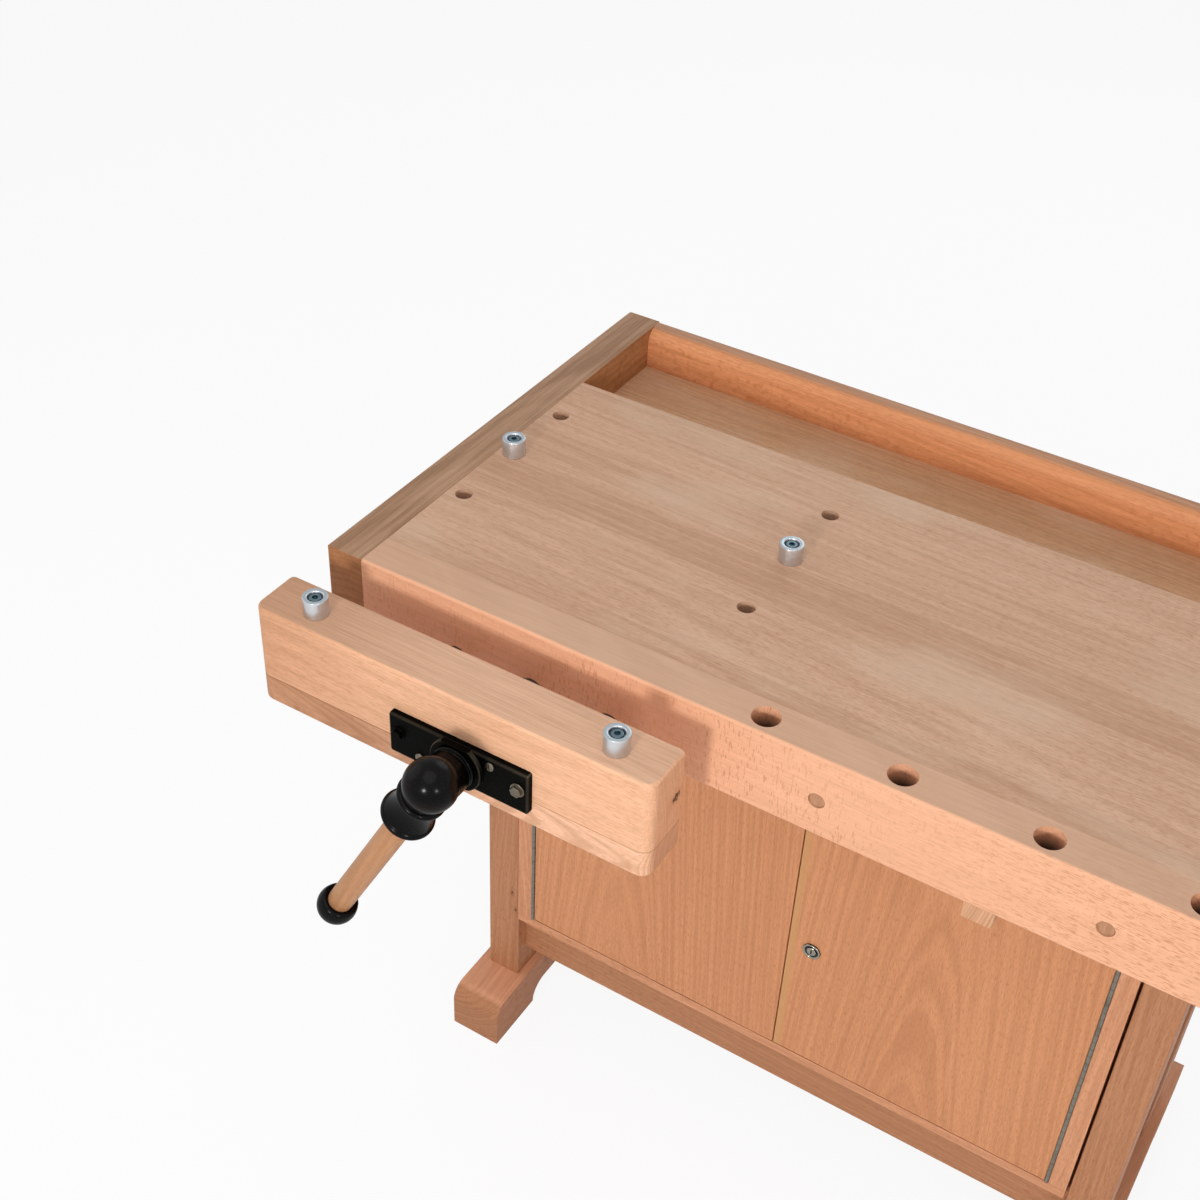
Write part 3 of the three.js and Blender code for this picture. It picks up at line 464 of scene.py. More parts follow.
def length_of(start, vector):
    return start.add("VectorMath", {"operation": "LENGTH"}, {0: vector}, out="Value")


def noise(start, place, scale, detail):
    at = stretched(start, place, *scale)
    return start.add("TexNoise", inputs={"Vector": at, "Scale": 1.0, "Detail": detail})


def stored(start, name, out="Fac"):
    return start.add("Attribute", {"attribute_name": name}, out=out)


def part_of(start, vector, axis):
    return start.add("SeparateXYZ", inputs={0: vector}, out=axis)


def facing_up(start, low, high):
    normal = start.add("TexCoord", out="Normal")
    return stepped(start, part_of(start, normal, "Z"), low, high)


def relief(start, height, strength, distance):
    inputs = {"Strength": strength, "Distance": distance, "Height": height}
    return start.add("Bump", inputs=inputs)


print("colours, noise and relief are ready")


# %% [markdown]
# ## The figure of beech
#
# Beech is pale and even, with faint year rings and a great many short dark flecks, which are the
# wood's rays. A picture of planks would be quicker, but it would look the same on a face and on an
# end. So the figure is solid: rings are shells around the heart of the log, fibres are noise drawn
# out along the grain, and rays are thin ribbons that run outwards from the heart. A face that cuts
# along the rays shows upright flecks, and one that cuts across them shows short dashes, with no
# extra work. The top is glued from staves, so there each stave takes its own part of the log.
# Sizes are repeats in a metre: along the log, across it and through it.

# %% Staves, rings, rays and pores
CLOUDS = (1.1, 7.0, 7.0)
STREAKS = (2.2, 110.0, 110.0)
FIBRES = (16.0, 620.0, 620.0)
PORES = (110.0, 900.0, 900.0)
RAY_DASHES = (110.0, 900.0, 110.0)
RAY_RIBBONS = (700.0, 1300.0, 110.0)
RAY_PATCHES = (4.0, 4.0, 4.0)
RAY_LIMITS = (0.55, 0.66)
RAY_PATCH_LIMITS = (0.38, 0.66)
PORE_LIMITS = (0.52, 0.68)
RING_LIMITS = (0.34, 0.66)
STAVES = 16.0
STAVE_SHIFT_ALONG, STAVE_SHIFT_DEEP = 9.0, 0.3
LOG_TAPER = 0.05
RING_WANDER = 0.02
FLECK_LOSS = 0.75


def glued_staves(start, grain):
    inputs = {"W": part_of(start, grain, "Y"), "Scale": STAVES, "Randomness": 0.6}
    stave = start.add("TexVoronoi", {"voronoi_dimensions": "1D"}, inputs, out="Color")
    tone = start.add("SeparateColor", inputs={0: stave})
    shift = {0: tone * STAVE_SHIFT_ALONG, 2: tone * STAVE_SHIFT_DEEP}
    moved = start.add("CombineXYZ", inputs=shift)
    return start.add("VectorMath", {"operation": "ADD"}, {0: grain, 1: moved}), tone


def year_rings(start, grain, cloud, growth):
    from_heart = length_of(start, stretched(start, grain, 0.0, 1.0, 1.0))
    along = part_of(start, grain, "X")
    year = (from_heart + along * LOG_TAPER + cloud * RING_WANDER) * growth
    inputs = {"W": year, "Scale": 1.0, "Detail": 2.0}
    ring = start.add("TexNoise", {"noise_dimensions": "1D"}, inputs)
    return stepped(start, ring, *RING_LIMITS)


def rays_and_pores(start, grain, place, ray_size, ray_limits, flecks_end):
    ray = stepped(start, noise(start, grain, ray_size, detail=1.0), *ray_limits)
    ray = ray * stepped(start, noise(start, place, RAY_PATCHES, detail=2.0), *RAY_PATCH_LIMITS)
    pore = stepped(start, noise(start, grain, PORES, detail=1.0), *PORE_LIMITS)
    if flecks_end:
        plain = stepped(start, part_of(start, place, "X"), *flecks_end)
        ray = ray * (1.0 - plain * FLECK_LOSS)
        pore = pore * (plain * FLECK_LOSS + (1.0 - FLECK_LOSS))
    return ray, pore


print("the log has staves, rings, rays and pores")


# %% [markdown]
# ## Marks and painted shade on the wood
#
# Faces that point up take tones of their own, wide boards fade in patches, and knots crack. Some
# boards are painted darker towards their left ends, and the walls of the dog holes darker with
# depth, both as painted shade. These could be painted by hand on each mesh. Here each is one more
# layer over the body colour, placed in metres on the bench, so that it stays where it is on every
# piece that shares the finish.

# %% Marks and painted shade on the wood
UPWARD_LIMITS = (0.80, 0.99)
UPWARD_VARIES, UPWARD_LEAST = 0.5, 0.55
FADE_PATCHES = (5.0, 9.0, 9.0)
FADE_LIMITS = (0.45, 0.70)
FADE_COLOUR = rgb(216, 188, 162)
BAND_BLUR = 0.0004
BAND_COVER = 0.75
KNOT_CRACKS = (420.0, 420.0, 300.0)
KNOT_RAGGED = 1.5
HALO_COVER, CORE_COVER = 0.45, 0.9
KNOT_HALO, KNOT_CORE, KNOT_SPLIT = (0.8, 2.6), (0.55, 1.0), (0.52, 0.60)
KNOT_DARK, KNOT_PALE = rgb(62, 36, 22), rgb(190, 150, 112)
# Painted shade: the walls of the dog holes are painted darker with depth below the top.
HOLE_SHADE_DEPTHS = (0.008, 0.030)
HOLE_SHADE_COVER = 0.95
HOLE_SHADE_COLOUR = rgb(40, 22, 13)


# Faces that point up are blended towards a pair of tones of their own, varied in clouds.
def upward_toned(start, body, tone, cloud, dark_and_pale):
    amount = facing_up(start, *UPWARD_LIMITS) * (cloud * UPWARD_VARIES + UPWARD_LEAST)
    return blended(start, amount, body, blended(start, tone, *dark_and_pale))


def faded(start, body, place, amount):
    patches = stepped(start, noise(start, place, FADE_PATCHES, detail=5.0), *FADE_LIMITS)
    return blended(start, patches * amount, body, FADE_COLOUR)


def banded(start, body, place, axis, position, half_width, colour):
    distance = start.math("ABSOLUTE", part_of(start, place, axis) - position, 0.0)
    strip = 1.0 - stepped(start, distance, half_width - BAND_BLUR, half_width + BAND_BLUR)
    return blended(start, strip * BAND_COVER, body, colour)


# Painted shade: the colour is multiplied darker towards a board's left end, standing in for the
# lamps' light falling off there.
def shaded_to_left(start, body, place, start_x, end_x, shade):
    away = stepped(start, part_of(start, place, "X"), start_x, end_x)
    return blended(start, 1.0 - away, body, shade, "MULTIPLY")


def knotted(start, body, place, halo_colour, spot, size):
    from_spot = start.add("VectorMath", {"operation": "SUBTRACT"}, {0: place, 1: spot})
    reach = length_of(start, stretched(start, from_spot, *(1 / s for s in size)))
    crack = noise(start, place, KNOT_CRACKS, detail=3.0)
    reach = reach + (crack - 0.5) * KNOT_RAGGED
    halo = 1.0 - stepped(start, reach, *KNOT_HALO)
    body = blended(start, halo * HALO_COVER, body, halo_colour)
    core = 1.0 - stepped(start, reach, *KNOT_CORE)
    knot = blended(start, stepped(start, crack, *KNOT_SPLIT), KNOT_DARK, KNOT_PALE)
    return blended(start, core * CORE_COVER, body, knot)


# Painted shade inside the dog holes: the deeper a marked wall lies, the darker it is painted.
def painted_hole_shade(start, body, place):
    depth = stepped(start, bench_height - part_of(start, place, "Z"), *HOLE_SHADE_DEPTHS)
    return blended(start, stored(start, "bored") * (depth * HOLE_SHADE_COVER), body, HOLE_SHADE_COLOUR)


print("wood can be rubbed, faded, banded, weathered, knotted and shaded_in_holes")


# %% [markdown]
# ## One beech, many boards
#
# The boards of a bench come from different trees, so each group of pieces has its own tone and its
# own share of rings, streaks, flecks and pores. One function with those shares as its values is
# easier to keep even than thirteen node trees made by hand.

# %% The beech recipe
TINTS = {
    "light": (1.10, 1.11, 1.13),
    "dark": (0.80, 0.74, 0.68),
    "fleck": (0.70, 0.55, 0.44),
    "late wood": (0.62, 0.52, 0.44),
    "early wood": (0.84, 0.74, 0.66),
    "arris": (1.06, 1.03, 1.00),
    "knot": (0.70, 0.52, 0.38),
}
ARRIS_SHARE = 0.25


def beech(
    name,
    colour,
    rays=0.4,
    ray_size=RAY_DASHES,
    ray_limits=RAY_LIMITS,
    rings=0.25,
    growth=230.0,
    streaks=0.7,
    clouds=0.35,
    lines=1.0,
    pores=0.4,
    staves=0.0,
    fading=0.0,
    shine=0.5,
    upward_tones=None,
    knots=(),
    band=None,
    darkened=None,
    flecks_end=None,
):
    finish, start = new_finish(name)
    grain = stored(start, "grain", "Vector")
    place = start.add("TexCoord", out="Object")
    if staves:
        grain, stave_tone = glued_staves(start, grain)
    cloud = noise(start, grain, CLOUDS, detail=3.0)
    streak = noise(start, grain, STREAKS, detail=4.0)
    fibre = noise(start, grain, FIBRES, detail=3.0)
    ring = year_rings(start, grain, cloud, growth)
    ray, pore = rays_and_pores(start, grain, place, ray_size, ray_limits, flecks_end)

    tone = (cloud - 0.5) * clouds + (streak - 0.5) * streaks + (fibre - 0.5) * lines
    tone = tone + (ring - 0.5) * rings + 0.5
    if staves:
        tone = tone + (stave_tone - 0.5) * staves
    tone = stepped(start, tone, 0.0, 1.0)
    tint = {part: tinted(colour, *factors) for part, factors in TINTS.items()}
    body = blended(start, tone, tint["dark"], tint["light"])
    body = blended(start, ray * rays, body, tint["fleck"])
    body = blended(start, pore * pores, body, tint["fleck"])
    cut_end = blended(start, ring, tint["late wood"], tint["early wood"])
    end_share = min(1.0, 0.2 + rings * 0.8)
    body = blended(start, stored(start, "end_grain") * end_share, body, cut_end)
    body = blended(start, stored(start, "arris") * ARRIS_SHARE, body, tint["arris"])

    if upward_tones:
        body = upward_toned(start, body, tone, cloud, upward_tones)
    if fading:
        body = faded(start, body, place, fading)
    if band:
        body = banded(start, body, place, *band)
    # painted shade towards the left end
    if darkened:
        body = shaded_to_left(start, body, place, *darkened)
    for spot, size in knots:
        body = knotted(start, body, place, tint["knot"], spot, size)
    # painted shade down the walls of the dog holes
    body = painted_hole_shade(start, body, place)

    height = fibre * 0.5 - ray * 0.4 - pore * 0.6 + ring * 0.15
    bumps = relief(start, height, strength=0.35, distance=0.0006)
    dull = (fibre - 0.5) * 0.25 + pore * 0.12 + (0.74 - shine * 0.4)
    surface(start, Base_Color=body, Roughness=dull, Normal=bumps, Specular_IOR_Level=0.3)
    return finish


print("the recipe for beech is written")


# %% [markdown]
# ## The boards' own tones
#
# The apron shows its rays most, the lower strip of the jaw comes from a darker, ringed board, and
# faces that point up take tones of their own. A paler lip stands beside the seam of the doors, and
# a glue line shows between the two plies of the jaw. Both plies are painted darker towards their
# left ends, as painted shade. The frame's colour also holds painted shade, and the lighter tops of
# the feet are painted light. One colour for all would be simpler, but these differences are what
# shows that the bench was glued up from real boards.

# %% The thirteen beech finishes
knot_on_jaw = (bench_point(482, -76, 801), (0.006, 0.0085, 0.0065))
knots_on_leg = [
    (bench_point(135.4, 160, 231.4), (0.0022, 0.003, 0.0055)),
    (bench_point(141, 160, 202), (0.0018, 0.003, 0.004)),
]
seam_x = (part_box("left_door")[1].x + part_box("right_door")[0].x) / 2
door_lip = ("X", seam_x + 0.0055, 0.0048, rgb(200, 148, 96))
glue_line = ("Z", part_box("front_jaw")[0].z, 0.0011, rgb(176, 118, 82))
jaw_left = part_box("front_jaw")[0].x
top_tones = rgb(184, 145, 118), rgb(216, 178, 150)
jaw_tops = rgb(196, 152, 123), rgb(230, 186, 155)
cap_tops = rgb(138, 106, 82), rgb(186, 153, 126)
rail_tops = rgb(146, 106, 80), rgb(186, 144, 114)
# Painted light: the feet's tops are lighter than the rest of the frame, as lit tops.
foot_tops = rgb(216, 155, 119), rgb(238, 178, 141)
apron_beech = beech(
    "apron_beech",
    rgb(236, 180, 144),
    rays=0.8,
    ray_size=RAY_RIBBONS,
    ray_limits=(0.60, 0.67),
    rings=0.08,
    streaks=0.3,
    clouds=0.3,
    lines=0.5,
    pores=0.85,
    upward_tones=top_tones,
    flecks_end=(left_edge + 0.62, left_edge + 0.95),
)
# Both plies of the front jaw are painted darker towards their left ends, as painted shade.
jaw_beech = beech(
    "jaw_beech",
    rgb(238, 185, 148),
    rings=0.12,
    upward_tones=jaw_tops,
    knots=[knot_on_jaw],
    darkened=(jaw_left - 0.02, jaw_left + 0.26, (0.76, 0.69, 0.63, 1.0)),
)
strip_beech = beech(
    "jaw_strip_beech",
    rgb(236, 185, 151),
    rings=0.6,
    growth=520.0,
    streaks=0.9,
    band=glue_line,
    darkened=(jaw_left + 0.10, jaw_left + 0.32, (0.61, 0.52, 0.43, 1.0)),
)
top_beech = beech("top_beech", rgb(206, 166, 138), rings=0.2, staves=0.3, fading=0.45, shine=0.3)
cap_beech = beech(
    "end_cap_beech", rgb(178, 124, 80), rings=0.2, streaks=1.5, shine=0.3, upward_tones=cap_tops
)
tray_beech = beech("tray_beech", rgb(204, 158, 120), rays=0.2, fading=0.35, shine=0.2)
rail_beech = beech("rail_beech", rgb(220, 150, 102), streaks=0.8, upward_tones=rail_tops)
# Painted shade: the frame's colour is darkened to that of a leg in shade, while its feet's tops
# carry painted light.
frame_beech = beech("frame_beech", rgb(184, 129, 92), upward_tones=foot_tops, knots=knots_on_leg)
panel_beech = beech(
    "panel_beech",
    rgb(208, 145, 102),
    rays=0.35,
    rings=0.3,
    streaks=0.4,
    clouds=0.4,
    lines=0.55,
    pores=0.42,
    band=door_lip,
)
case_beech = beech("case_beech", rgb(210, 150, 112))
plug_beech = beech("plug_beech", rgb(186, 138, 106))
bearer_beech = beech("bearer_beech", rgb(238, 192, 157), rings=0.9, growth=430.0)
handle_beech = beech(
    "handle_beech", rgb(182, 131, 90), rays=0.2, streaks=0.4, lines=0.5, pores=0.2, shine=0.7
)
print("thirteen beech finishes mixed")


# %% [markdown]
# ## Black lacquer and black iron
#
# The hubs are lacquered black and polished by hands, so their roughness changes in soft patches
# and a little brown shows where the lacquer is thin. The iron plates are painted, and the paint has
# gone from their edges. A glossy black would do for a first look, but without the patches and the
# specks it would look like plastic.

# %% The dark finishes
PATCHES = (38.0, 38.0, 38.0)
SPECKS = (900.0, 900.0, 900.0)
PATCH_LIMITS, SPECK_LIMITS = (0.52, 0.78), (0.66, 0.74)
WORN_COVER, SPECK_COVER = 0.55, 0.20
SPECK_COLOUR = rgb(80, 76, 74)
BARE_EDGE = rgb(118, 108, 92)


def lacquer(name, colour, worn, roughness, coat, edge_wear=0.0):
    finish, start = new_finish(name)
    place = start.add("TexCoord", out="Object")
    patch = noise(start, place, PATCHES, detail=4.0)
    speck = stepped(start, noise(start, place, SPECKS, detail=1.0), *SPECK_LIMITS)
    body = blended(start, stepped(start, patch, *PATCH_LIMITS) * WORN_COVER, colour, worn)
    body = blended(start, speck * SPECK_COVER, body, SPECK_COLOUR)
    body = blended(start, stored(start, "arris") * patch * edge_wear, body, BARE_EDGE)
    surface(
        start,
        Base_Color=body,
        Roughness=patch * 0.22 + speck * 0.25 + (roughness - 0.11),
        Normal=relief(start, patch * 0.3 + speck * 0.4, strength=0.22, distance=0.0005),
        Coat_Weight=coat,
        Coat_Roughness=0.18,
        Specular_IOR_Level=0.015,
    )
    return finish


black_lacquer = lacquer("black_lacquer", rgb(4, 4, 4), rgb(24, 9, 7), 0.28, 0.18)
black_plastic = lacquer("black_plastic", rgb(6, 6, 7), rgb(15, 15, 18), 0.32, 0.16)
black_iron = lacquer("black_iron", rgb(4, 4, 3), rgb(14, 12, 10), 0.45, 0.02, edge_wear=0.7)
print("black lacquer, plastic and iron mixed")


# %% [markdown]
# ## Steel, aluminium, zinc and nickel
#
# Bare metals get fine lines from the tool that cut them: around a turned dog and along a drawn bar.
# Anisotropic gloss could stand for them from afar. Noise on object coordinates, drawn out the way
# the tool moved, still shows its lines from close by, and it bakes with the colour.

# %% The bright finishes
TARNISH_CLOUDS = (55.0, 55.0, 55.0)
TARNISH_LIMITS = (0.50, 0.80)
LINE_DARK, LINE_LIGHT, TARNISHED = (0.86,) * 3, (1.08,) * 3, (0.55, 0.50, 0.44)
TOP_REFLECTION_LIMITS = (0.7, 0.95)
# Painted shade for the lock: parts sunk behind its face turn dark brown with depth.
RECESS_SHADE_DEPTHS = (0.0007, 0.0018)
RECESS_SHADE_COVER, RECESS_SHADE_COLOUR = 0.93, rgb(34, 29, 22)
DRAWN_ALONG_Y, DRAWN_ALONG_X = (300.0, 40.0, 300.0), (40.0, 300.0, 300.0)
ROLLED, EVEN = (300.0, 300.0, 240.0), (200.0, 200.0, 200.0)
TURNED_ROUND, DRAWN_FACE = (60.0, 60.0, 1400.0), (200.0, 30.0, 200.0)


def bright_metal(name, colour, lines, roughness, tarnish=0.25, recess=None, top_tone=None):
    finish, start = new_finish(name)
    place = start.add("TexCoord", out="Object")
    line = noise(start, place, lines, detail=2.0)
    stain = stepped(start, noise(start, place, TARNISH_CLOUDS, detail=4.0), *TARNISH_LIMITS)
    body = blended(start, line, tinted(colour, *LINE_DARK), tinted(colour, *LINE_LIGHT))
    body = blended(start, stain * tarnish, body, tinted(colour, *TARNISHED))
    # Painted reflection: faces that point up are painted another colour, standing in for a duller
    # reflection on turned tops.
    if top_tone:
        body = blended(start, facing_up(start, *TOP_REFLECTION_LIMITS), body, top_tone)
    # Painted shade: whatever lies deeper than the given face is painted darker.
    if recess is not None:
        sunk = stepped(start, part_of(start, place, "Y") - recess, *RECESS_SHADE_DEPTHS)
        body = blended(start, sunk * RECESS_SHADE_COVER, body, RECESS_SHADE_COLOUR)
    surface(
        start,
        Base_Color=body,
        Roughness=(line - 0.5) * 0.22 + stain * 0.15 + roughness,
        Metallic=1.0,
        Normal=relief(start, line, strength=0.12, distance=0.0003),
    )
    return finish


steel_grey = rgb(186, 186, 184)
drawn_steel = bright_metal("drawn_steel", steel_grey, DRAWN_ALONG_Y, 0.34)
drawn_steel_x = bright_metal("drawn_steel_x", steel_grey, DRAWN_ALONG_X, 0.34)
hinge_steel = bright_metal("hinge_steel", rgb(134, 131, 122), ROLLED, 0.42, 0.8)
# The dogs' tops are painted a darker blue-grey, as painted reflection.
dog_top_reflection = rgb(158, 168, 174)
turned_aluminium = bright_metal(
    "turned_aluminium", rgb(206, 208, 211), TURNED_ROUND, 0.36, 0.1, top_tone=dog_top_reflection
)
zinc = bright_metal("zinc", rgb(118, 110, 97), EVEN, 0.36, 0.35)
blued_zinc = bright_metal("blued_zinc", rgb(92, 112, 122), EVEN, 0.3, 0.3)
lock_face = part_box("lock_housing")[0].y
# The lock's recess and keyway carry painted shade.
nickel = bright_metal("nickel", rgb(150, 146, 134), DRAWN_FACE, 0.2, 0.3, recess=lock_face)
print("steel, aluminium, zinc and nickel mixed")


# %% [markdown]
# ## Handing a piece to its body
#
# A finished piece rides on the body of the solid that it stands for, so that jaws, doors and screws
# still move. The solid is then hidden.


def coat(piece, finish):
    piece.data.materials.clear()
    piece.data.materials.append(finish)


def settle(piece, finish, *cad_nodes):
    coat(piece, finish)
    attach(piece, nodes[cad_nodes[0]]["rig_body"])
    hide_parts(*cad_nodes)
    return piece


def fasten(piece, finish, body):
    coat(piece, finish)
    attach(piece, body)
    return piece


def board(node):
    return block(node + "_board", *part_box(node))


def glue_up(piece, node, finish, axis, heart=None):
    soften(piece)
    lay_grain(piece, axis, heart)
    return settle(piece, finish, node)


print("pieces can ride on their bodies")


# %% [markdown]
# ## The bench top
#
# The slab is glued from staves and bored for round dogs. The apron in front of it is deeper, has
# the row of larger dog holes and three wooden plugs over its bolts. The holes could be modelled in
# the face with insets, but dozens of them would meet and tangle. So every hole is bored first, and
# all sharp rims are softened together afterwards.

# %% Slab and apron
DOG_HOLE, EDGE_HOLE = 0.020, 0.030
DOG_HOLE_XS = (66, 426)
DOG_HOLE_YS = (162, 262, 362)
FIRST_EDGE_HOLE, EDGE_HOLE_PITCH, EDGE_HOLES = 522, 143.6, 7
EDGE_LINE = 23
SLAB_MIDDLE, THROUGH_SLAB = 823, 0.08
APRON_MIDDLE, THROUGH_APRON = 800, 0.16
THROUGH_BOARD = 0.06
VISE_BORES = {"vise_screw": 0.031, "left_guide_rod": 0.028, "right_guide_rod": 0.028}
PLUG_HOLE, PLUG_DRILL = 0.018, 0.024
BROKEN_EDGE = (0.004, 4)

slab = board("bench_top")
slab_holes = [bench_point(x, y, SLAB_MIDDLE) for x in DOG_HOLE_XS for y in DOG_HOLE_YS]
for hole in slab_holes:
    bore(slab, hole, DOG_HOLE, THROUGH_SLAB, "Z")
glue_up(slab, "bench_top", top_beech, "X", heart=(0.3, 0.2))
mark_bores(slab, slab_holes, DOG_HOLE)

apron = board("front_apron")
round_edges(apron, BROKEN_EDGE, "front top", "front bottom")
edge_hole_xs = [FIRST_EDGE_HOLE + EDGE_HOLE_PITCH * i for i in range(EDGE_HOLES)]
apron_holes = [bench_point(x, EDGE_LINE, APRON_MIDDLE) for x in edge_hole_xs]
for hole in apron_holes:
    bore(apron, hole, EDGE_HOLE, THROUGH_APRON, "Z", sides=64)
row_y = front_edge + EDGE_LINE / 1000
for rod, diameter in VISE_BORES.items():
    hole = middle("front_" + rod)
    bore(apron, Vector((hole.x, row_y, hole.z)), diameter, THROUGH_BOARD, "Y")
plugs = [f"apron_plug_{i}" for i in (1, 2, 3)]
for plug in plugs:
    hole = middle(plug)
    bore(apron, Vector((hole.x, front_edge, hole.z)), PLUG_HOLE, PLUG_DRILL, "Y")
glue_up(apron, "front_apron", apron_beech, "X", heart=(0.02, 0.4))
mark_bores(apron, apron_holes, EDGE_HOLE)
print(f"slab with {len(slab_holes)} holes and apron with {len(apron_holes)} made")


# %% [markdown]
# ## Plugs, end caps and tool tray
#
# A plug is a short dowel, turned with a slightly domed end so that it catches the light. The end
# caps run across the ends of the top, and the right one is bored for the end vise. The tray's back
# rail has a wide rounding inside, where hands sweep the tray clean. All are plain boards otherwise,
# so each takes only the roundings that its real edges have.

# %% Plugs, caps and tray
PLUG_PROFILE = [(8.8, 0), (8.8, 10.2), (8.3, 10.7), (6.5, 10.95), (0.5, 11.0)]
SWEPT_EDGE = (0.019, 10)

for plug in plugs:
    dowel = turned(plug + "_dowel", PLUG_PROFILE, sides=48)
    foot = Vector((middle(plug).x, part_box(plug)[1].y, middle(plug).z))
    put(dowel, Matrix.Translation(foot) @ FORWARD)
    lay_grain(dowel, "Z", heart=(0.03, 0.05))
    settle(dowel, plug_beech, plug)

for side in ("left", "right"):
    node = side + "_end_cap"
    cap = board(node)
    outer = [f"{side} top", f"{side} bottom", f"front {side}", f"back {side}"]
    round_edges(cap, BROKEN_EDGE, *outer)
    if side == "right":
        for rod, diameter in VISE_BORES.items():
            hole = middle("end_" + rod)
            bore(cap, Vector((middle(node).x, hole.y, hole.z)), diameter, THROUGH_BOARD, "X")
    glue_up(cap, node, cap_beech, "Y")

back_rail = board("tray_back_rail")
round_edges(back_rail, SWEPT_EDGE, "front top")
round_edges(back_rail, BROKEN_EDGE, "back top", "back bottom")
glue_up(back_rail, "tray_back_rail", rail_beech, "X", heart=(0.25, 0.1))
glue_up(board("tray_floor"), "tray_floor", tray_beech, "X", heart=(0.1, 0.03))
print("plugs, end caps and tray made")


# %% [markdown]
# ## Legs, feet and rails
#
# A sled foot is a long block with round noses and a shallow arch under it, so that it stands on two
# pads. It could be an outline extruded sideways. Here the noses are two edges bevelled with a large
# radius, and the arch is a second block, with its own rounded shoulders, taken away from below,
# because both are then easy to change.

# %% Trestles
FOOT_NOSE, FOOT_SHOULDER = (0.023, 10), (0.0275, 8)
FOOT_SOFTNESS = (0.003, 3)
PAD_LENGTH, ARCH_HEIGHT = 0.090, 0.028
BESIDE, BELOW, SPARE = 0.02, 0.03, 0.01
LEG_EDGE, STRETCHER_EDGE = (0.003, 3), (0.002, 3)
UPRIGHT_EDGES = ("front left", "front right", "back left", "back right")
LONG_EDGES = ("front top", "front bottom", "back top", "back bottom")


def make_foot(node):
    foot = board(node)
    round_edges(foot, FOOT_NOSE, "front top", "back top")
    low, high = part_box(node)
    arch_high = Vector((high.x + BESIDE, high.y - PAD_LENGTH, ARCH_HEIGHT))
    arch = block("arch", low - Vector((BESIDE, -PAD_LENGTH, BELOW)), arch_high)
    round_edges(arch, FOOT_SHOULDER, "front top", "back top")
    taken_away(foot, arch)
    soften(foot, *FOOT_SOFTNESS)
    lay_grain(foot, "Y")
    settle(foot, frame_beech, node)


def make_stepped_rail(node, finish, heart=None):
    rail = board(node)
    low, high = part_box(node)
    tray_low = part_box("tray_floor")[0]
    step_low = Vector((low.x - SPARE, tray_low.y, tray_low.z))
    step_high = Vector((high.x + SPARE, high.y + SPARE, high.z + SPARE))
    taken_away(rail, block("step", step_low, step_high))
    glue_up(rail, node, finish, "Y", heart)


for side in ("left", "right"):
    make_foot(side + "_foot")
    make_stepped_rail(side + "_head_rail", frame_beech)
    for place in ("front", "back"):
        leg = round_edges(board(f"{side}_{place}_leg"), LEG_EDGE, *UPRIGHT_EDGES)
        glue_up(leg, f"{side}_{place}_leg", frame_beech, "Z")
make_stepped_rail("cross_bearer", bearer_beech, heart=(0.10, 0.03))
for place in ("front", "back"):
    stretcher = round_edges(board(place + "_stretcher"), STRETCHER_EDGE, *LONG_EDGES)
    glue_up(stretcher, place + "_stretcher", frame_beech, "X")
print("two trestles, their stretchers and the bearer made")


# %% [markdown]
# ## The cabinet
#
# The case is plain board. The doors are veneered, with upright grain, and their edges are only
# eased: a rounding that a hand could feel would widen the seam between them, which is a thin dark
# line. Each door's veneer is cut at its own distance from the heart.

# %% Case and doors
LOCK_HOLE = 0.0186
DOOR_EASING = (0.001, 3)
CASE_GRAIN = {
    "cabinet_left_side": "Z",
    "cabinet_right_side": "Z",
    "cabinet_bottom": "X",
    "cabinet_top": "X",
    "cabinet_back": "Z",
    "cabinet_shelf": "X",
}

for node, axis in CASE_GRAIN.items():
    glue_up(board(node), node, case_beech, axis)

for side, heart in (("left", (0.06, 0.10)), ("right", (-0.12, 0.14))):
    door = board(side + "_door")
    if side == "right":
        bore(door, middle("lock_housing"), LOCK_HOLE, THROUGH_BOARD, "Y")
    soften(door, *DOOR_EASING)
    lay_grain(door, "Z", heart)
    settle(door, panel_beech, side + "_door")
print("cabinet made")


# %% [markdown]
# ## The vise jaws
#
# A jaw is a thick plank with well rounded outer corners. The front jaw is glued from a deep upper
# ply and a lower strip of another board. Two blocks could be rounded one by one, but their corners
# would never quite meet, so the jaw is shaped whole and then parted at the glue line.

# %% Jaws
OUTER_CORNER, INNER_CORNER = (0.014, 8), (0.006, 4)
ROD_FIT = 0.0256
THROUGH_JAW, THROUGH_HEIGHT = 1.0, 0.4


def jaw_plank(name, low, high, outer, inner):
    plank = block(name, low, high)
    round_edges(plank, OUTER_CORNER, *outer)
    round_edges(plank, INNER_CORNER, *inner)
    return round_edges(plank, BROKEN_EDGE, "top", "bottom")


def bore_jaw(plank, prefix, axis):
    screw = middle(prefix + "_vise_screw")
    bore(plank, screw, VISE_BORES["vise_screw"], THROUGH_JAW, axis)
    for side in ("left", "right"):
        low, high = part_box(f"{prefix}_{side}_guide_rod")
        bore(plank, (low + high) / 2, ROD_FIT, (high - low).length, axis)


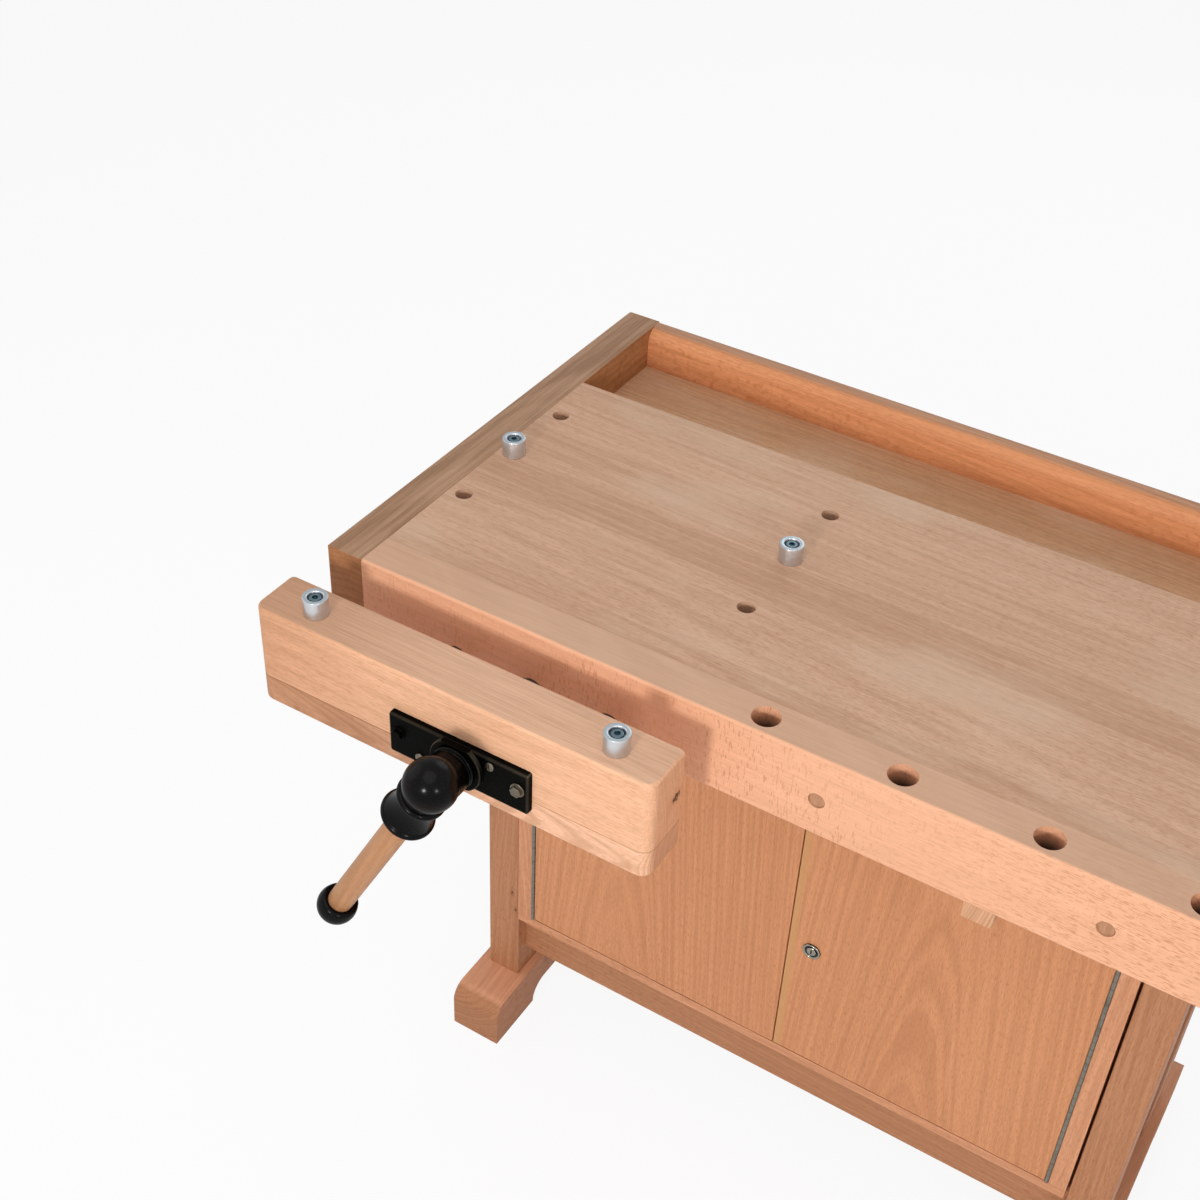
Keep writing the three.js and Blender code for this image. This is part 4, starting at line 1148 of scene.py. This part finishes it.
jaw_low, jaw_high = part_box("front_jaw_lower_strip")[0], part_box("front_jaw")[1]
front_corners, back_corners = UPRIGHT_EDGES[:2], UPRIGHT_EDGES[2:]
beyond = Vector((SPARE, SPARE, 0.0))
for node, finish, heart in (
    ("front_jaw", jaw_beech, (0.4, 0.05)),
    ("front_jaw_lower_strip", strip_beech, (-0.045, 0.012)),
):
    ply = jaw_plank(node + "_ply", jaw_low, jaw_high, front_corners, back_corners)
    bore_jaw(ply, "front", "Y")
    for dog in ("bench_dog_jaw_left", "bench_dog_jaw_right"):
        bore(ply, middle(dog), DOG_HOLE, THROUGH_HEIGHT, "Z")
    low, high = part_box(node)
    combined(ply, block("ply_part", low - beyond, high + beyond), "INTERSECT")
    soften(ply, width=0.0003)
    lay_grain(ply, "X", heart)
    settle(ply, finish, node)

right_corners, left_corners = ("front right", "back right"), ("front left", "back left")
end_plank = jaw_plank("end_jaw_plank", *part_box("end_jaw"), right_corners, left_corners)
bore_jaw(end_plank, "end", "X")
end_hole = Vector((middle("end_jaw").x, row_y, bench_height))
bore(end_plank, end_hole, EDGE_HOLE, THROUGH_HEIGHT, "Z", sides=64)
glue_up(end_plank, "end_jaw", jaw_beech, "Y")
mark_bores(end_plank, [end_hole], EDGE_HOLE)
print("front and end jaws made")


# %% [markdown]
# ## Hub, bar and cap
#
# The hub is the piece that the hand knows best: a ball, a bead, a hollow waist and a flared bell
# around the bar, all on a thick neck that holds the screw. Carving it from one mesh would be slow.
# It is turned as two shapes, one on the bar's axis and one on the screw's, and the two are joined
# with a Boolean so that the lacquer runs over both.

# %% Profiles of the handle
HUB_PROFILE = [
    (13.0, -25.0),
    (23.4, -25.0),
    *arc(24.4, -21.0, 4.0, -80, 62, 8),
    (25.9, -17.2),
    *arc(96.0, 8.0, 74.5, 199, 180, 8),
    (21.6, 11.4),
    (22.0, 12.8),
    *arc(22.0, 17.2, 4.0, -78, 78, 10),
    (21.6, 21.4),
    (20.8, 22.2),
    *arc(0.0, 41.0, 28.0, -41, 88, 22),
]
NECK_PROFILE = [
    (15.0, 0.3),
    (23.0, 0.3),
    *arc(22.7, 2.1, 1.8, -80, 90, 6),
    (22.7, 4.6),
    (22.3, 5.4),
    (22.9, 6.2),
    (23.7, 7.4),
    (24.1, 9.0),
    (24.1, 44.0),
    (23.4, 52.0),
    (21.0, 59.0),
    (16.0, 63.0),
]
CAP_PROFILE = [
    (2.0, -33.9),
    *arc(0.0, -12.0, 22.0, -84, 20, 16),
    *arc(16.2, -4.6, 4.6, 32, 100, 6),
    (14.7, -0.4),
    (14.4, -1.6),
    (14.3, -6.0),
]
BAR_PROFILE = [(13.0, -243), (13.8, -242), (14.0, -200), (14.0, -60), (13.9, -8), (13.4, -6)]
print(f"hub of {len(HUB_PROFILE)} rings, neck of {len(NECK_PROFILE)}, cap of {len(CAP_PROFILE)}")


# %% [markdown]
# ## Setting the handles on their screws
#
# Both vises share these profiles. One faces the front and the other faces right, so each handle is
# turned upright and then set on its screw's axis. Two handles drawn in place would have to be drawn
# twice. The bar hangs a little askew, as it was left, and its tilt turns hub, bar and cap together.

# %% Handles
FACING = {"front": 0.0, "end": math.pi / 2}
NECK_FOOT = 0.063
CAP_LIP = -229.0
HUB_CREASE = math.radians(38)


def joint_at(name):
    return next(joint["pos_m"] for joint in frame["joints"] if joint["name"] == name)


def screw_axis(prefix):
    place = Vector(joint_at(prefix + "_screw_spin"))
    return Matrix.Translation(place) @ Matrix.Rotation(FACING[prefix], 4, "Z")


def make_handle(prefix, tilt):
    axis = screw_axis(prefix)
    swing = axis @ Matrix.Rotation(math.radians(tilt), 4, "Y")

    hub = put(turned(prefix + "_hub", HUB_PROFILE), swing)
    to_plate = Matrix.Translation((0, NECK_FOOT, 0)) @ FORWARD
    neck = put(turned(prefix + "_neck", NECK_PROFILE), axis @ to_plate)
    combined(hub, neck, "UNION")
    pick(hub)
    bpy.ops.object.shade_smooth_by_angle(angle=HUB_CREASE)
    settle(hub, black_lacquer, prefix + "_handle_hub")

    bar = put(turned(prefix + "_bar", BAR_PROFILE, sides=48), swing)
    lay_grain(bar, "Z", heart=(0.02, 0.03), turn=swing)
    settle(bar, handle_beech, prefix + "_handle_bar")

    cap = turned(prefix + "_cap", CAP_PROFILE)
    put(cap, swing @ Matrix.Translation((0, 0, CAP_LIP / 1000)))
    settle(cap, black_plastic, prefix + "_handle_cap")
    print(f"{prefix} handle made, tilted {tilt} degrees")


make_handle("front", tilt=27.7)
make_handle("end", tilt=12.0)


# %% [markdown]
# ## Bolts and screws to copy
#
# The plates are held by hexagon bolts on washers and by slotted screws. They are small and all
# alike, so each kind is modelled once and copied. Linked copies would save memory, but every copy
# here gets a mesh of its own, because its place goes into its mesh.

# %% A bolt and a screw
HEAD_EDGE = (0.0008, 2)
WASHER_PROFILE = [(8.2, 0.0), (8.2, 0.9), (7.8, 1.3), (3.0, 1.4)]
SCREW_HEAD_PROFILE = [(5.0, 0.0), (5.0, 1.2), (4.4, 2.2), (2.6, 2.9), (0.4, 3.1)]
SLOT_LOW, SLOT_HIGH = Vector((-0.01, -0.0006, 0.0014)), Vector((0.01, 0.0006, 0.01))


def hexagon(name, radius, depth, height):
    cylinder = bpy.ops.mesh.primitive_cylinder_add
    return blank(name, cylinder, vertices=6, radius=radius, depth=depth, location=(0, 0, height))


def copy_of(pattern, name, matrix):
    copy = pattern.copy()
    copy.data = pattern.data.copy()
    copy.name = name
    bpy.context.scene.collection.objects.link(copy)
    return put(copy, matrix)


bolt_pattern = hexagon("bolt_pattern", radius=0.0066, depth=0.0042, height=0.0033)
round_edges(bolt_pattern, HEAD_EDGE, "top")
combined(bolt_pattern, turned("washer", WASHER_PROFILE, sides=32), "UNION")
soften(bolt_pattern, width=0.0002)
screw_pattern = turned("screw_pattern", SCREW_HEAD_PROFILE, sides=32)
taken_away(screw_pattern, block("slot", SLOT_LOW, SLOT_HIGH))
soften(screw_pattern, width=0.00015)
print("bolt and screw ready to copy")


# %% [markdown]
# ## Vise plates
#
# An iron plate spreads the screw's pull over the jaw, and a round boss on it guides the neck of the
# hub. A disc laid on the plate would stand over its edges, because the boss is wider than the plate
# is tall, so it is turned whole, trimmed to the plate's height and then joined. The plate is built
# around its own screw and set in place at the end, so one function makes both.

# %% Plates and their bolts
PLATE_REACH, PLATE_FACE, PLATE_MIDDLE, PLATE_BACK = 0.084, 0.068, 0.07, 0.076
PLATE_CORNER, PLATE_ARRIS = (0.003, 4), (0.0024, 2)
PLATE_CORNERS = ("left top", "right top", "left bottom", "right bottom")
PLATE_BORE = 0.0286
BOSS_FOOT, BOSS_TRIM = 0.0759, 0.0002
TRIM_REACH, TRIM_FRONT, TRIM_BACK = 0.06, 0.05, 0.09
BOSS_PROFILE = [
    (30.8, 0.0),
    (30.8, 8.6),
    *arc(29.0, 11.0, 1.8, 0, 90, 4),
    (26.4, 12.9),
    (14.4, 12.9),
]
PLATE_FASTENERS = (
    ("bolt_1", bolt_pattern, black_iron, (-72, 3), 0.4),
    ("bolt_2", bolt_pattern, zinc, (72, 3), 1.4),
    ("screw_1", screw_pattern, zinc, (-46, -16), 0.9),
    ("screw_2", screw_pattern, zinc, (40, 17), 1.9),
)


def make_plate(prefix):
    node = prefix + "_vise_plate"
    low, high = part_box(node)
    half = (high.z - low.z) / 2
    plate_low = Vector((-PLATE_REACH, PLATE_FACE, -half))
    plate = block(prefix + "_plate", plate_low, Vector((PLATE_REACH, PLATE_BACK, half)))
    round_edges(plate, PLATE_CORNER, *PLATE_CORNERS)
    round_edges(plate, PLATE_ARRIS, "front")
    boss = put(turned("boss", BOSS_PROFILE), Matrix.Translation((0, BOSS_FOOT, 0)) @ FORWARD)
    trim_low = Vector((-TRIM_REACH, TRIM_FRONT, BOSS_TRIM - half))
    trim_high = Vector((TRIM_REACH, TRIM_BACK, half - BOSS_TRIM))
    combined(boss, block("trim", trim_low, trim_high), "INTERSECT")
    combined(plate, boss, "UNION")
    bore(plate, Vector((0, PLATE_MIDDLE, 0)), PLATE_BORE, THROUGH_BOARD, "Y")
    soften(plate, width=0.0003)
    mark_arrises(plate)
    axis = screw_axis(prefix)
    put(plate, axis)
    settle(plate, black_iron, node)
    body = nodes[node]["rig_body"]
    for name, pattern, finish, (x, z), spin in PLATE_FASTENERS:
        spot = axis @ Matrix.Translation((x / 1000, PLATE_FACE, z / 1000)) @ FORWARD
        spot = spot @ Matrix.Rotation(spin, 4, "Z")
        fasten(copy_of(pattern, f"{prefix}_plate_{name}", spot), finish, body)


make_plate("front")
make_plate("end")
print("two plates and their bolts made")


# %% [markdown]
# ## The thread
#
# The vise screw has a coarse, flat-topped thread. Bump could only hint at it, and the open vise
# shows it plainly, so it is a mesh: a short profile that a Screw modifier winds along the axis, one
# pitch for each turn. The profile grows from one vertex, which can only be extruded in vertex
# selection, so the thread asks for that first. The modifier turns the faces outward, and the two
# open ends are filled.

# %% Winding a thread
PITCH = 6.0
THREAD_ROOT = 0.0112
THREAD_STEPS = ((0, 1.6), (2.6, 0.9), (0, 1.9), (-2.6, 0.9), (0, 0.7))
THREAD_SIDES = 28
THREAD_CREASE = math.radians(30)
WELD = 0.00002


def make_thread(name, start, length):
    plane = bpy.ops.mesh.primitive_plane_add
    thread = blank(name, plane, size=0.001, location=(THREAD_ROOT, 0, 0))
    bpy.ops.object.mode_set(mode="EDIT")
    bpy.ops.mesh.select_mode(type="VERT")
    bpy.ops.mesh.select_all(action="SELECT")
    bpy.ops.mesh.merge(type="CENTER")
    for outward, along in THREAD_STEPS:
        move = (outward / 1000, 0, along / 1000)
        bpy.ops.mesh.extrude_vertices_move(TRANSFORM_OT_translate={"value": move})
    bpy.ops.object.mode_set(mode="OBJECT")
    turns = int(length / PITCH)
    shaped_by(
        thread,
        "SCREW",
        axis="Z",
        steps=THREAD_SIDES,
        render_steps=THREAD_SIDES,
        screw_offset=PITCH / 1000,
        iterations=turns,
        use_merge_vertices=True,
        merge_threshold=WELD,
        use_normal_flip=True,
    )
    bpy.ops.object.mode_set(mode="EDIT")
    bpy.ops.mesh.select_all(action="SELECT")
    bpy.ops.mesh.remove_doubles(threshold=WELD)
    bpy.ops.mesh.select_all(action="DESELECT")
    bpy.ops.mesh.select_non_manifold()
    bpy.ops.mesh.fill_holes(sides=0)
    bpy.ops.mesh.poke()
    bpy.ops.object.mode_set(mode="OBJECT")
    bpy.ops.object.shade_smooth_by_angle(angle=THREAD_CREASE)
    print(f"{name}: {turns} turns, {len(thread.data.polygons)} faces")
    return put(thread, Matrix.Translation((0, 0, start / 1000)))


print("threads can be wound")


# %% [markdown]
# ## Vise screws and guide rods
#
# A screw is a smooth neck in front, which turns in the plate, and a thinner core behind, on which
# the thread sits. The guide rods beside it are plain bars with eased ends. Screw and rods run from
# the jaw into the bench, and the frame gives their lengths, so one function serves both vises.

# %% Screws and rods
SCREW_START = 23.0
NECK_END, CORE_START = 142, 144
THREAD_START, THREAD_LOSS = 143.0, 152.0


def make_screw(prefix, finish):
    node = prefix + "_vise_screw"
    low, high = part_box(node)
    length = max(high - low) * 1000
    end = SCREW_START + length
    neck = [(13.9, SCREW_START), (13.9, NECK_END)]
    tip = [(11.4, end - 5), (11.2, end - 3), (8.6, end - 0.2), (2.0, end)]
    lying = screw_axis(prefix) @ BACKWARD
    profile = [*neck, (11.4, CORE_START), *tip]
    core = put(turned(prefix + "_screw_core", profile, sides=48), lying)
    settle(core, finish, node)
    thread = make_thread(prefix + "_screw_thread", THREAD_START, end - THREAD_LOSS)
    fasten(put(thread, lying), finish, nodes[node]["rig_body"])
    print(f"{prefix} screw: {length:.0f} mm long")


def make_rod(node, facing, finish):
    low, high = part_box(node)
    length = max(high - low) * 1000
    profile = [(11.4, 0), (12.5, 1.2), (12.5, length - 2.0), (10.9, length)]
    rod = turned(node + "_bar", profile, sides=48)
    lying = Matrix.Rotation(facing, 4, "Z") @ BACKWARD
    outer_end = middle(node) - lying.to_3x3() @ Vector((0, 0, length / 2000))
    settle(put(rod, Matrix.Translation(outer_end) @ lying), finish, node)


for prefix, finish in (("front", drawn_steel), ("end", drawn_steel_x)):
    make_screw(prefix, finish)
    for side in ("left", "right"):
        make_rod(f"{prefix}_{side}_guide_rod", FACING[prefix], finish)
print("two screws and four guide rods made")


# %% [markdown]
# ## Bench dogs
#
# A dog is a short aluminium cylinder on a shank, hollowed at the top for the socket screw that
# holds the two together. A cylinder with a bevel would pass from afar, but the hollow and the
# screw in it are what one sees from above. One dog and one screw are made, and the others are
# copies, each screw turned a little further.

# %% Dogs and their socket screws
DOG_PROFILE = [
    (8.6, -50.0),
    (9.7, -48.8),
    (9.7, 0.0),
    (13.1, 0.0),
    (13.5, 0.4),
    (13.5, 21.0),
    (13.2, 21.7),
    (12.6, 22.0),
    (9.3, 22.0),
    (8.8, 21.7),
    (8.5, 21.2),
    (8.2, 15.4),
    (7.9, 15.0),
    (2.0, 15.0),
]
SOCKET_SCREW_PROFILE = [(6.4, 0), (6.4, 4.9), (6.1, 5.5), (5.4, 5.8)]
HOLLOW_FLOOR = 0.015
FIRST_SPIN = 0.3

dog_pattern = turned("dog_pattern", DOG_PROFILE)
cap_screw = turned("cap_screw_pattern", SOCKET_SCREW_PROFILE, sides=48)
taken_away(cap_screw, hexagon("socket", radius=0.0035, depth=0.008, height=0.0068))
soften(cap_screw, width=0.0002)
for i, place in enumerate(("jaw_left", "jaw_right", "top_left", "top_right")):
    node = "bench_dog_" + place
    foot = Matrix.Translation((middle(node).x, middle(node).y, bench_height))
    settle(copy_of(dog_pattern, node + "_turned", foot), turned_aluminium, node)
    seat = Matrix.Translation((0, 0, HOLLOW_FLOOR)) @ Matrix.Rotation(FIRST_SPIN + i, 4, "Z")
    screw = copy_of(cap_screw, node + "_screw", foot @ seat)
    fasten(screw, blued_zinc, nodes[node]["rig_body"])
for pattern in (bolt_pattern, screw_pattern, dog_pattern, cap_screw):
    bpy.data.objects.remove(pattern)
print("four dogs with their screws made")


# %% [markdown]
# ## Piano hinges
#
# A piano hinge is a row of knuckles on one pin. Thirty-seven cylinders could be placed one by one.
# Instead one knuckle is made, and an Array modifier repeats it down the door, every second place,
# so the two leaves interlock. Only a thin strip of each leaf shows beside the knuckles.

# %% Hinges
KNUCKLES = 37
KNUCKLE_GAP, KNUCKLE_LIFT = 0.35, 0.17
KNUCKLE_END = [(1.9, 0.0), (2.35, 0.15), (2.45, 0.45)]
LEAF_THICKNESS, LEAF_START = 0.001, 0.0028


def make_leaf(node, first, count):
    low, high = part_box(node)
    pin_x, pin_y = joint_at(node.split("_")[0] + "_door_hinge")[:2]
    pitch = (high.z - low.z) / KNUCKLES * 1000
    tall = pitch - KNUCKLE_GAP
    top_end = [(radius, tall - height) for radius, height in reversed(KNUCKLE_END)]
    leaf = turned(node + "_steel", KNUCKLE_END + top_end, sides=20)
    lowest = low.z + (first * pitch + KNUCKLE_LIFT) / 1000
    put(leaf, Matrix.Translation((pin_x, pin_y, lowest)))
    shaped_by(
        leaf,
        "ARRAY",
        count=count,
        use_relative_offset=False,
        use_constant_offset=True,
        constant_offset_displace=(0, 0, 2 * pitch / 1000),
    )
    on_left = middle(node).x < pin_x
    outer = low.x if on_left else high.x
    inner = outer + (LEAF_THICKNESS if on_left else -LEAF_THICKNESS)
    strip_low = Vector((min(outer, inner), pin_y + LEAF_START, low.z))
    strip = block("strip", strip_low, Vector((max(outer, inner), high.y, high.z)))
    soften(strip, width=0.0002)
    pick(leaf, strip)
    bpy.ops.object.join()
    settle(leaf, hinge_steel, node)


for side in ("left", "right"):
    make_leaf(side + "_hinge_case_leaf", 0, KNUCKLES // 2 + 1)
    make_leaf(side + "_hinge_door_leaf", 1, KNUCKLES // 2)
print("two piano hinges made")


# %% [markdown]
# ## The lock
#
# The lock is a turned rose, set into the right door, with a plug inside it that turns with the key.
# The keyway could be a dark line in the finish. It is cut instead, so that it catches the light at
# its edge and turns with the plug.

# %% Lock
ROSE_PROFILE = [
    (6.25, 2.2),
    (7.3, 2.1),
    (8.3, 1.5),
    (9.0, 0.5),
    (9.6, 0.05),
    (10.1, 0.0),
    (10.8, 0.35),
    (11.3, 1.1),
    (11.5, 2.3),
    (9.0, 2.35),
    (9.0, 22.6),
    (6.25, 22.7),
]
KEYWAY_LOW, KEYWAY_HIGH = Vector((-0.0008, -0.01, -0.0036)), Vector((0.0008, 0.006, 0.0036))

lock_centre = Vector((middle("lock_housing").x, lock_face, middle("lock_housing").z))
into_door = Matrix.Translation(lock_centre) @ BACKWARD
settle(put(turned("lock_rose", ROSE_PROFILE), into_door), nickel, "lock_housing")
plug_low, plug_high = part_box("lock_plug")
plug_length = (plug_high.y - plug_low.y) * 1000
plug_profile = [(5.3, 0.5), (5.9, 0.9), (6.0, 1.5), (6.0, plug_length)]
barrel = put(turned("lock_barrel", plug_profile, sides=48), into_door)
taken_away(barrel, block("keyway", KEYWAY_LOW + lock_centre, KEYWAY_HIGH + lock_centre))
soften(barrel, width=0.0002)
settle(barrel, nickel, "lock_plug")
print("lock made")


# %% [markdown]
# ## Castings that stay as they are
#
# The nut castings under the top and the lock's cam already have their shape in the frame. They
# could be modelled again, but they sit in the dark under the top and behind a door, so they only
# get a finish.

# %% Finishes for the remaining solids
for node, finish in (
    ("front_vise_nut", black_iron),
    ("end_vise_nut", black_iron),
    ("lock_cam", hinge_steel),
):
    coat(nodes[node], finish)
shown = [name for name, node in nodes.items() if not node.hide_render]
print("solids still shown:", ", ".join(sorted(shown)))


# %% [markdown]
# ## The floor
#
# The bench stands on a pale floor in a bright room. A floor that is lit until it looks white would
# need so much light that the wood would bleach. So the floor glows for the rays that come straight
# from the camera, a mirror or a glass, and stays a plain matt floor for all others, which keeps the
# bench's shadow.

# %% Floor
WHITE = (1, 1, 1, 1)
FLOOR_SIZE, FLOOR_HEIGHT = 60, -0.0004
FLOOR_MOTTLE = (0.7, 0.7, 0.7)
FLOOR_GLOW = 0.9


def seen_rays(start):
    seen = start.add("LightPath", out="Is Camera Ray")
    for kind in ("Is Glossy Ray", "Is Transmission Ray"):
        seen = start.math("MAXIMUM", seen, start.add("LightPath", out=kind))
    return seen


bpy.ops.object.select_all(action="DESELECT")
bpy.ops.mesh.primitive_plane_add(size=FLOOR_SIZE, location=(0, 0, FLOOR_HEIGHT))
floor = bpy.context.object
floor.name = "floor"
floor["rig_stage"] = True
pale, start = new_finish("pale_floor")
mottle = noise(start, start.add("TexCoord", out="Object"), FLOOR_MOTTLE, detail=3.0)
shade = blended(start, mottle, rgb(238, 238, 238), rgb(244, 244, 244))
matt = start.add("BsdfDiffuse", inputs={"Color": shade})
glow = start.add("Emission", inputs={"Color": WHITE, "Strength": 1.0})
look = start.add("MixShader", inputs={0: seen_rays(start) * FLOOR_GLOW, 1: matt, 2: glow})
start.add("OutputMaterial", inputs={"Surface": look})
floor.data.materials.append(pale)
print(f"floor {FLOOR_SIZE} m wide laid")


# %% [markdown]
# ## Light
#
# Two lamps stand in front at chest height, which is what puts the soft shine on the black hub and
# lights the apron more than the top. A large one hangs above, and weak ones on the left and behind
# open the shadows. Spot lamps would draw hard shadows, so all are round area lamps. The sky is
# white to look at and dimmer as a light.

# %% Lamps and sky
LAMPS = {
    "front_lamp": ((-0.2, -2.7, 1.6), (-0.2, -0.1, 0.65), 0.40, 31),
    "right_lamp": ((1.75, -1.75, 1.6), (-0.1, -0.1, 0.65), 0.40, 13),
    "top_lamp": ((-0.2, -1.0, 3.3), (0.0, 0.0, 0.6), 2.4, 17),
    "left_lamp": ((-2.8, -0.6, 2.0), (0.0, 0.0, 0.6), 2.4, 10),
    "back_lamp": ((-0.6, 3.2, 2.6), (0.0, 0.0, 0.6), 2.4, 21),
}
SKY_LIGHT, SKY_SHOW = 0.42, 0.58

for name, (place, aim, size, power) in LAMPS.items():
    bpy.ops.object.light_add(type="AREA", location=place)
    lamp = bpy.context.object
    lamp.name = name
    lamp.data.shape = "DISK"
    lamp.data.size = size
    lamp.data.energy = power
    lamp.rotation_euler = (Vector(aim) - Vector(place)).to_track_quat("-Z", "Y").to_euler()

sky = bpy.data.worlds.new("sky")
bpy.context.scene.world = sky
sky.use_nodes = True
sky.node_tree.nodes.clear()
start = Wire(sky.node_tree)
strength = seen_rays(start) * SKY_SHOW + SKY_LIGHT
air = start.add("Background", inputs={"Color": WHITE, "Strength": strength})
start.add("OutputWorld", inputs={"Surface": air})
print(f"{len(LAMPS)} lamps and a sky set")


# %% [markdown]
# ## Camera
#
# The camera looks down from the right, as one does on walking up to the bench. It could be aimed
# with a constraint, but its place, its turn and its lens were worked out together from the bench's
# own straight edges, so they are set as they are.

# %% Camera
IMAGE_WIDTH, FOCAL_PIXELS = 1200.0, 1709.0
SENSOR_WIDTH = 36.0

right = Vector((0.84807248, 0.52869267, 0.03545596))
down = Vector((0.35229912, -0.51260882, -0.78301822))
forward = Vector((-0.39580095, 0.67654731, -0.62098739))
eye = bench_point(998.348, -1118.530, 1955.198)
bpy.ops.object.camera_add(location=eye)
camera = bpy.context.object
camera.rotation_euler = Matrix((right, -down, -forward)).transposed().to_euler()
camera.data.sensor_width = SENSOR_WIDTH
camera.data.lens = SENSOR_WIDTH * FOCAL_PIXELS / IMAGE_WIDTH
camera.data.clip_end = 100.0
bpy.context.scene.camera = camera
bpy.context.scene.view_settings.view_transform = "Standard"
print(f"camera {eye.z:.2f} m up, {camera.data.lens:.1f} mm lens")


# %% [markdown]
# ## The last check
#
# The dressed bench has to stay inside the box of the solids, so its size is measured and printed.

# %% Measure and finish
low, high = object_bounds()
print("dressed", [round(v, 4) for v in high - low])
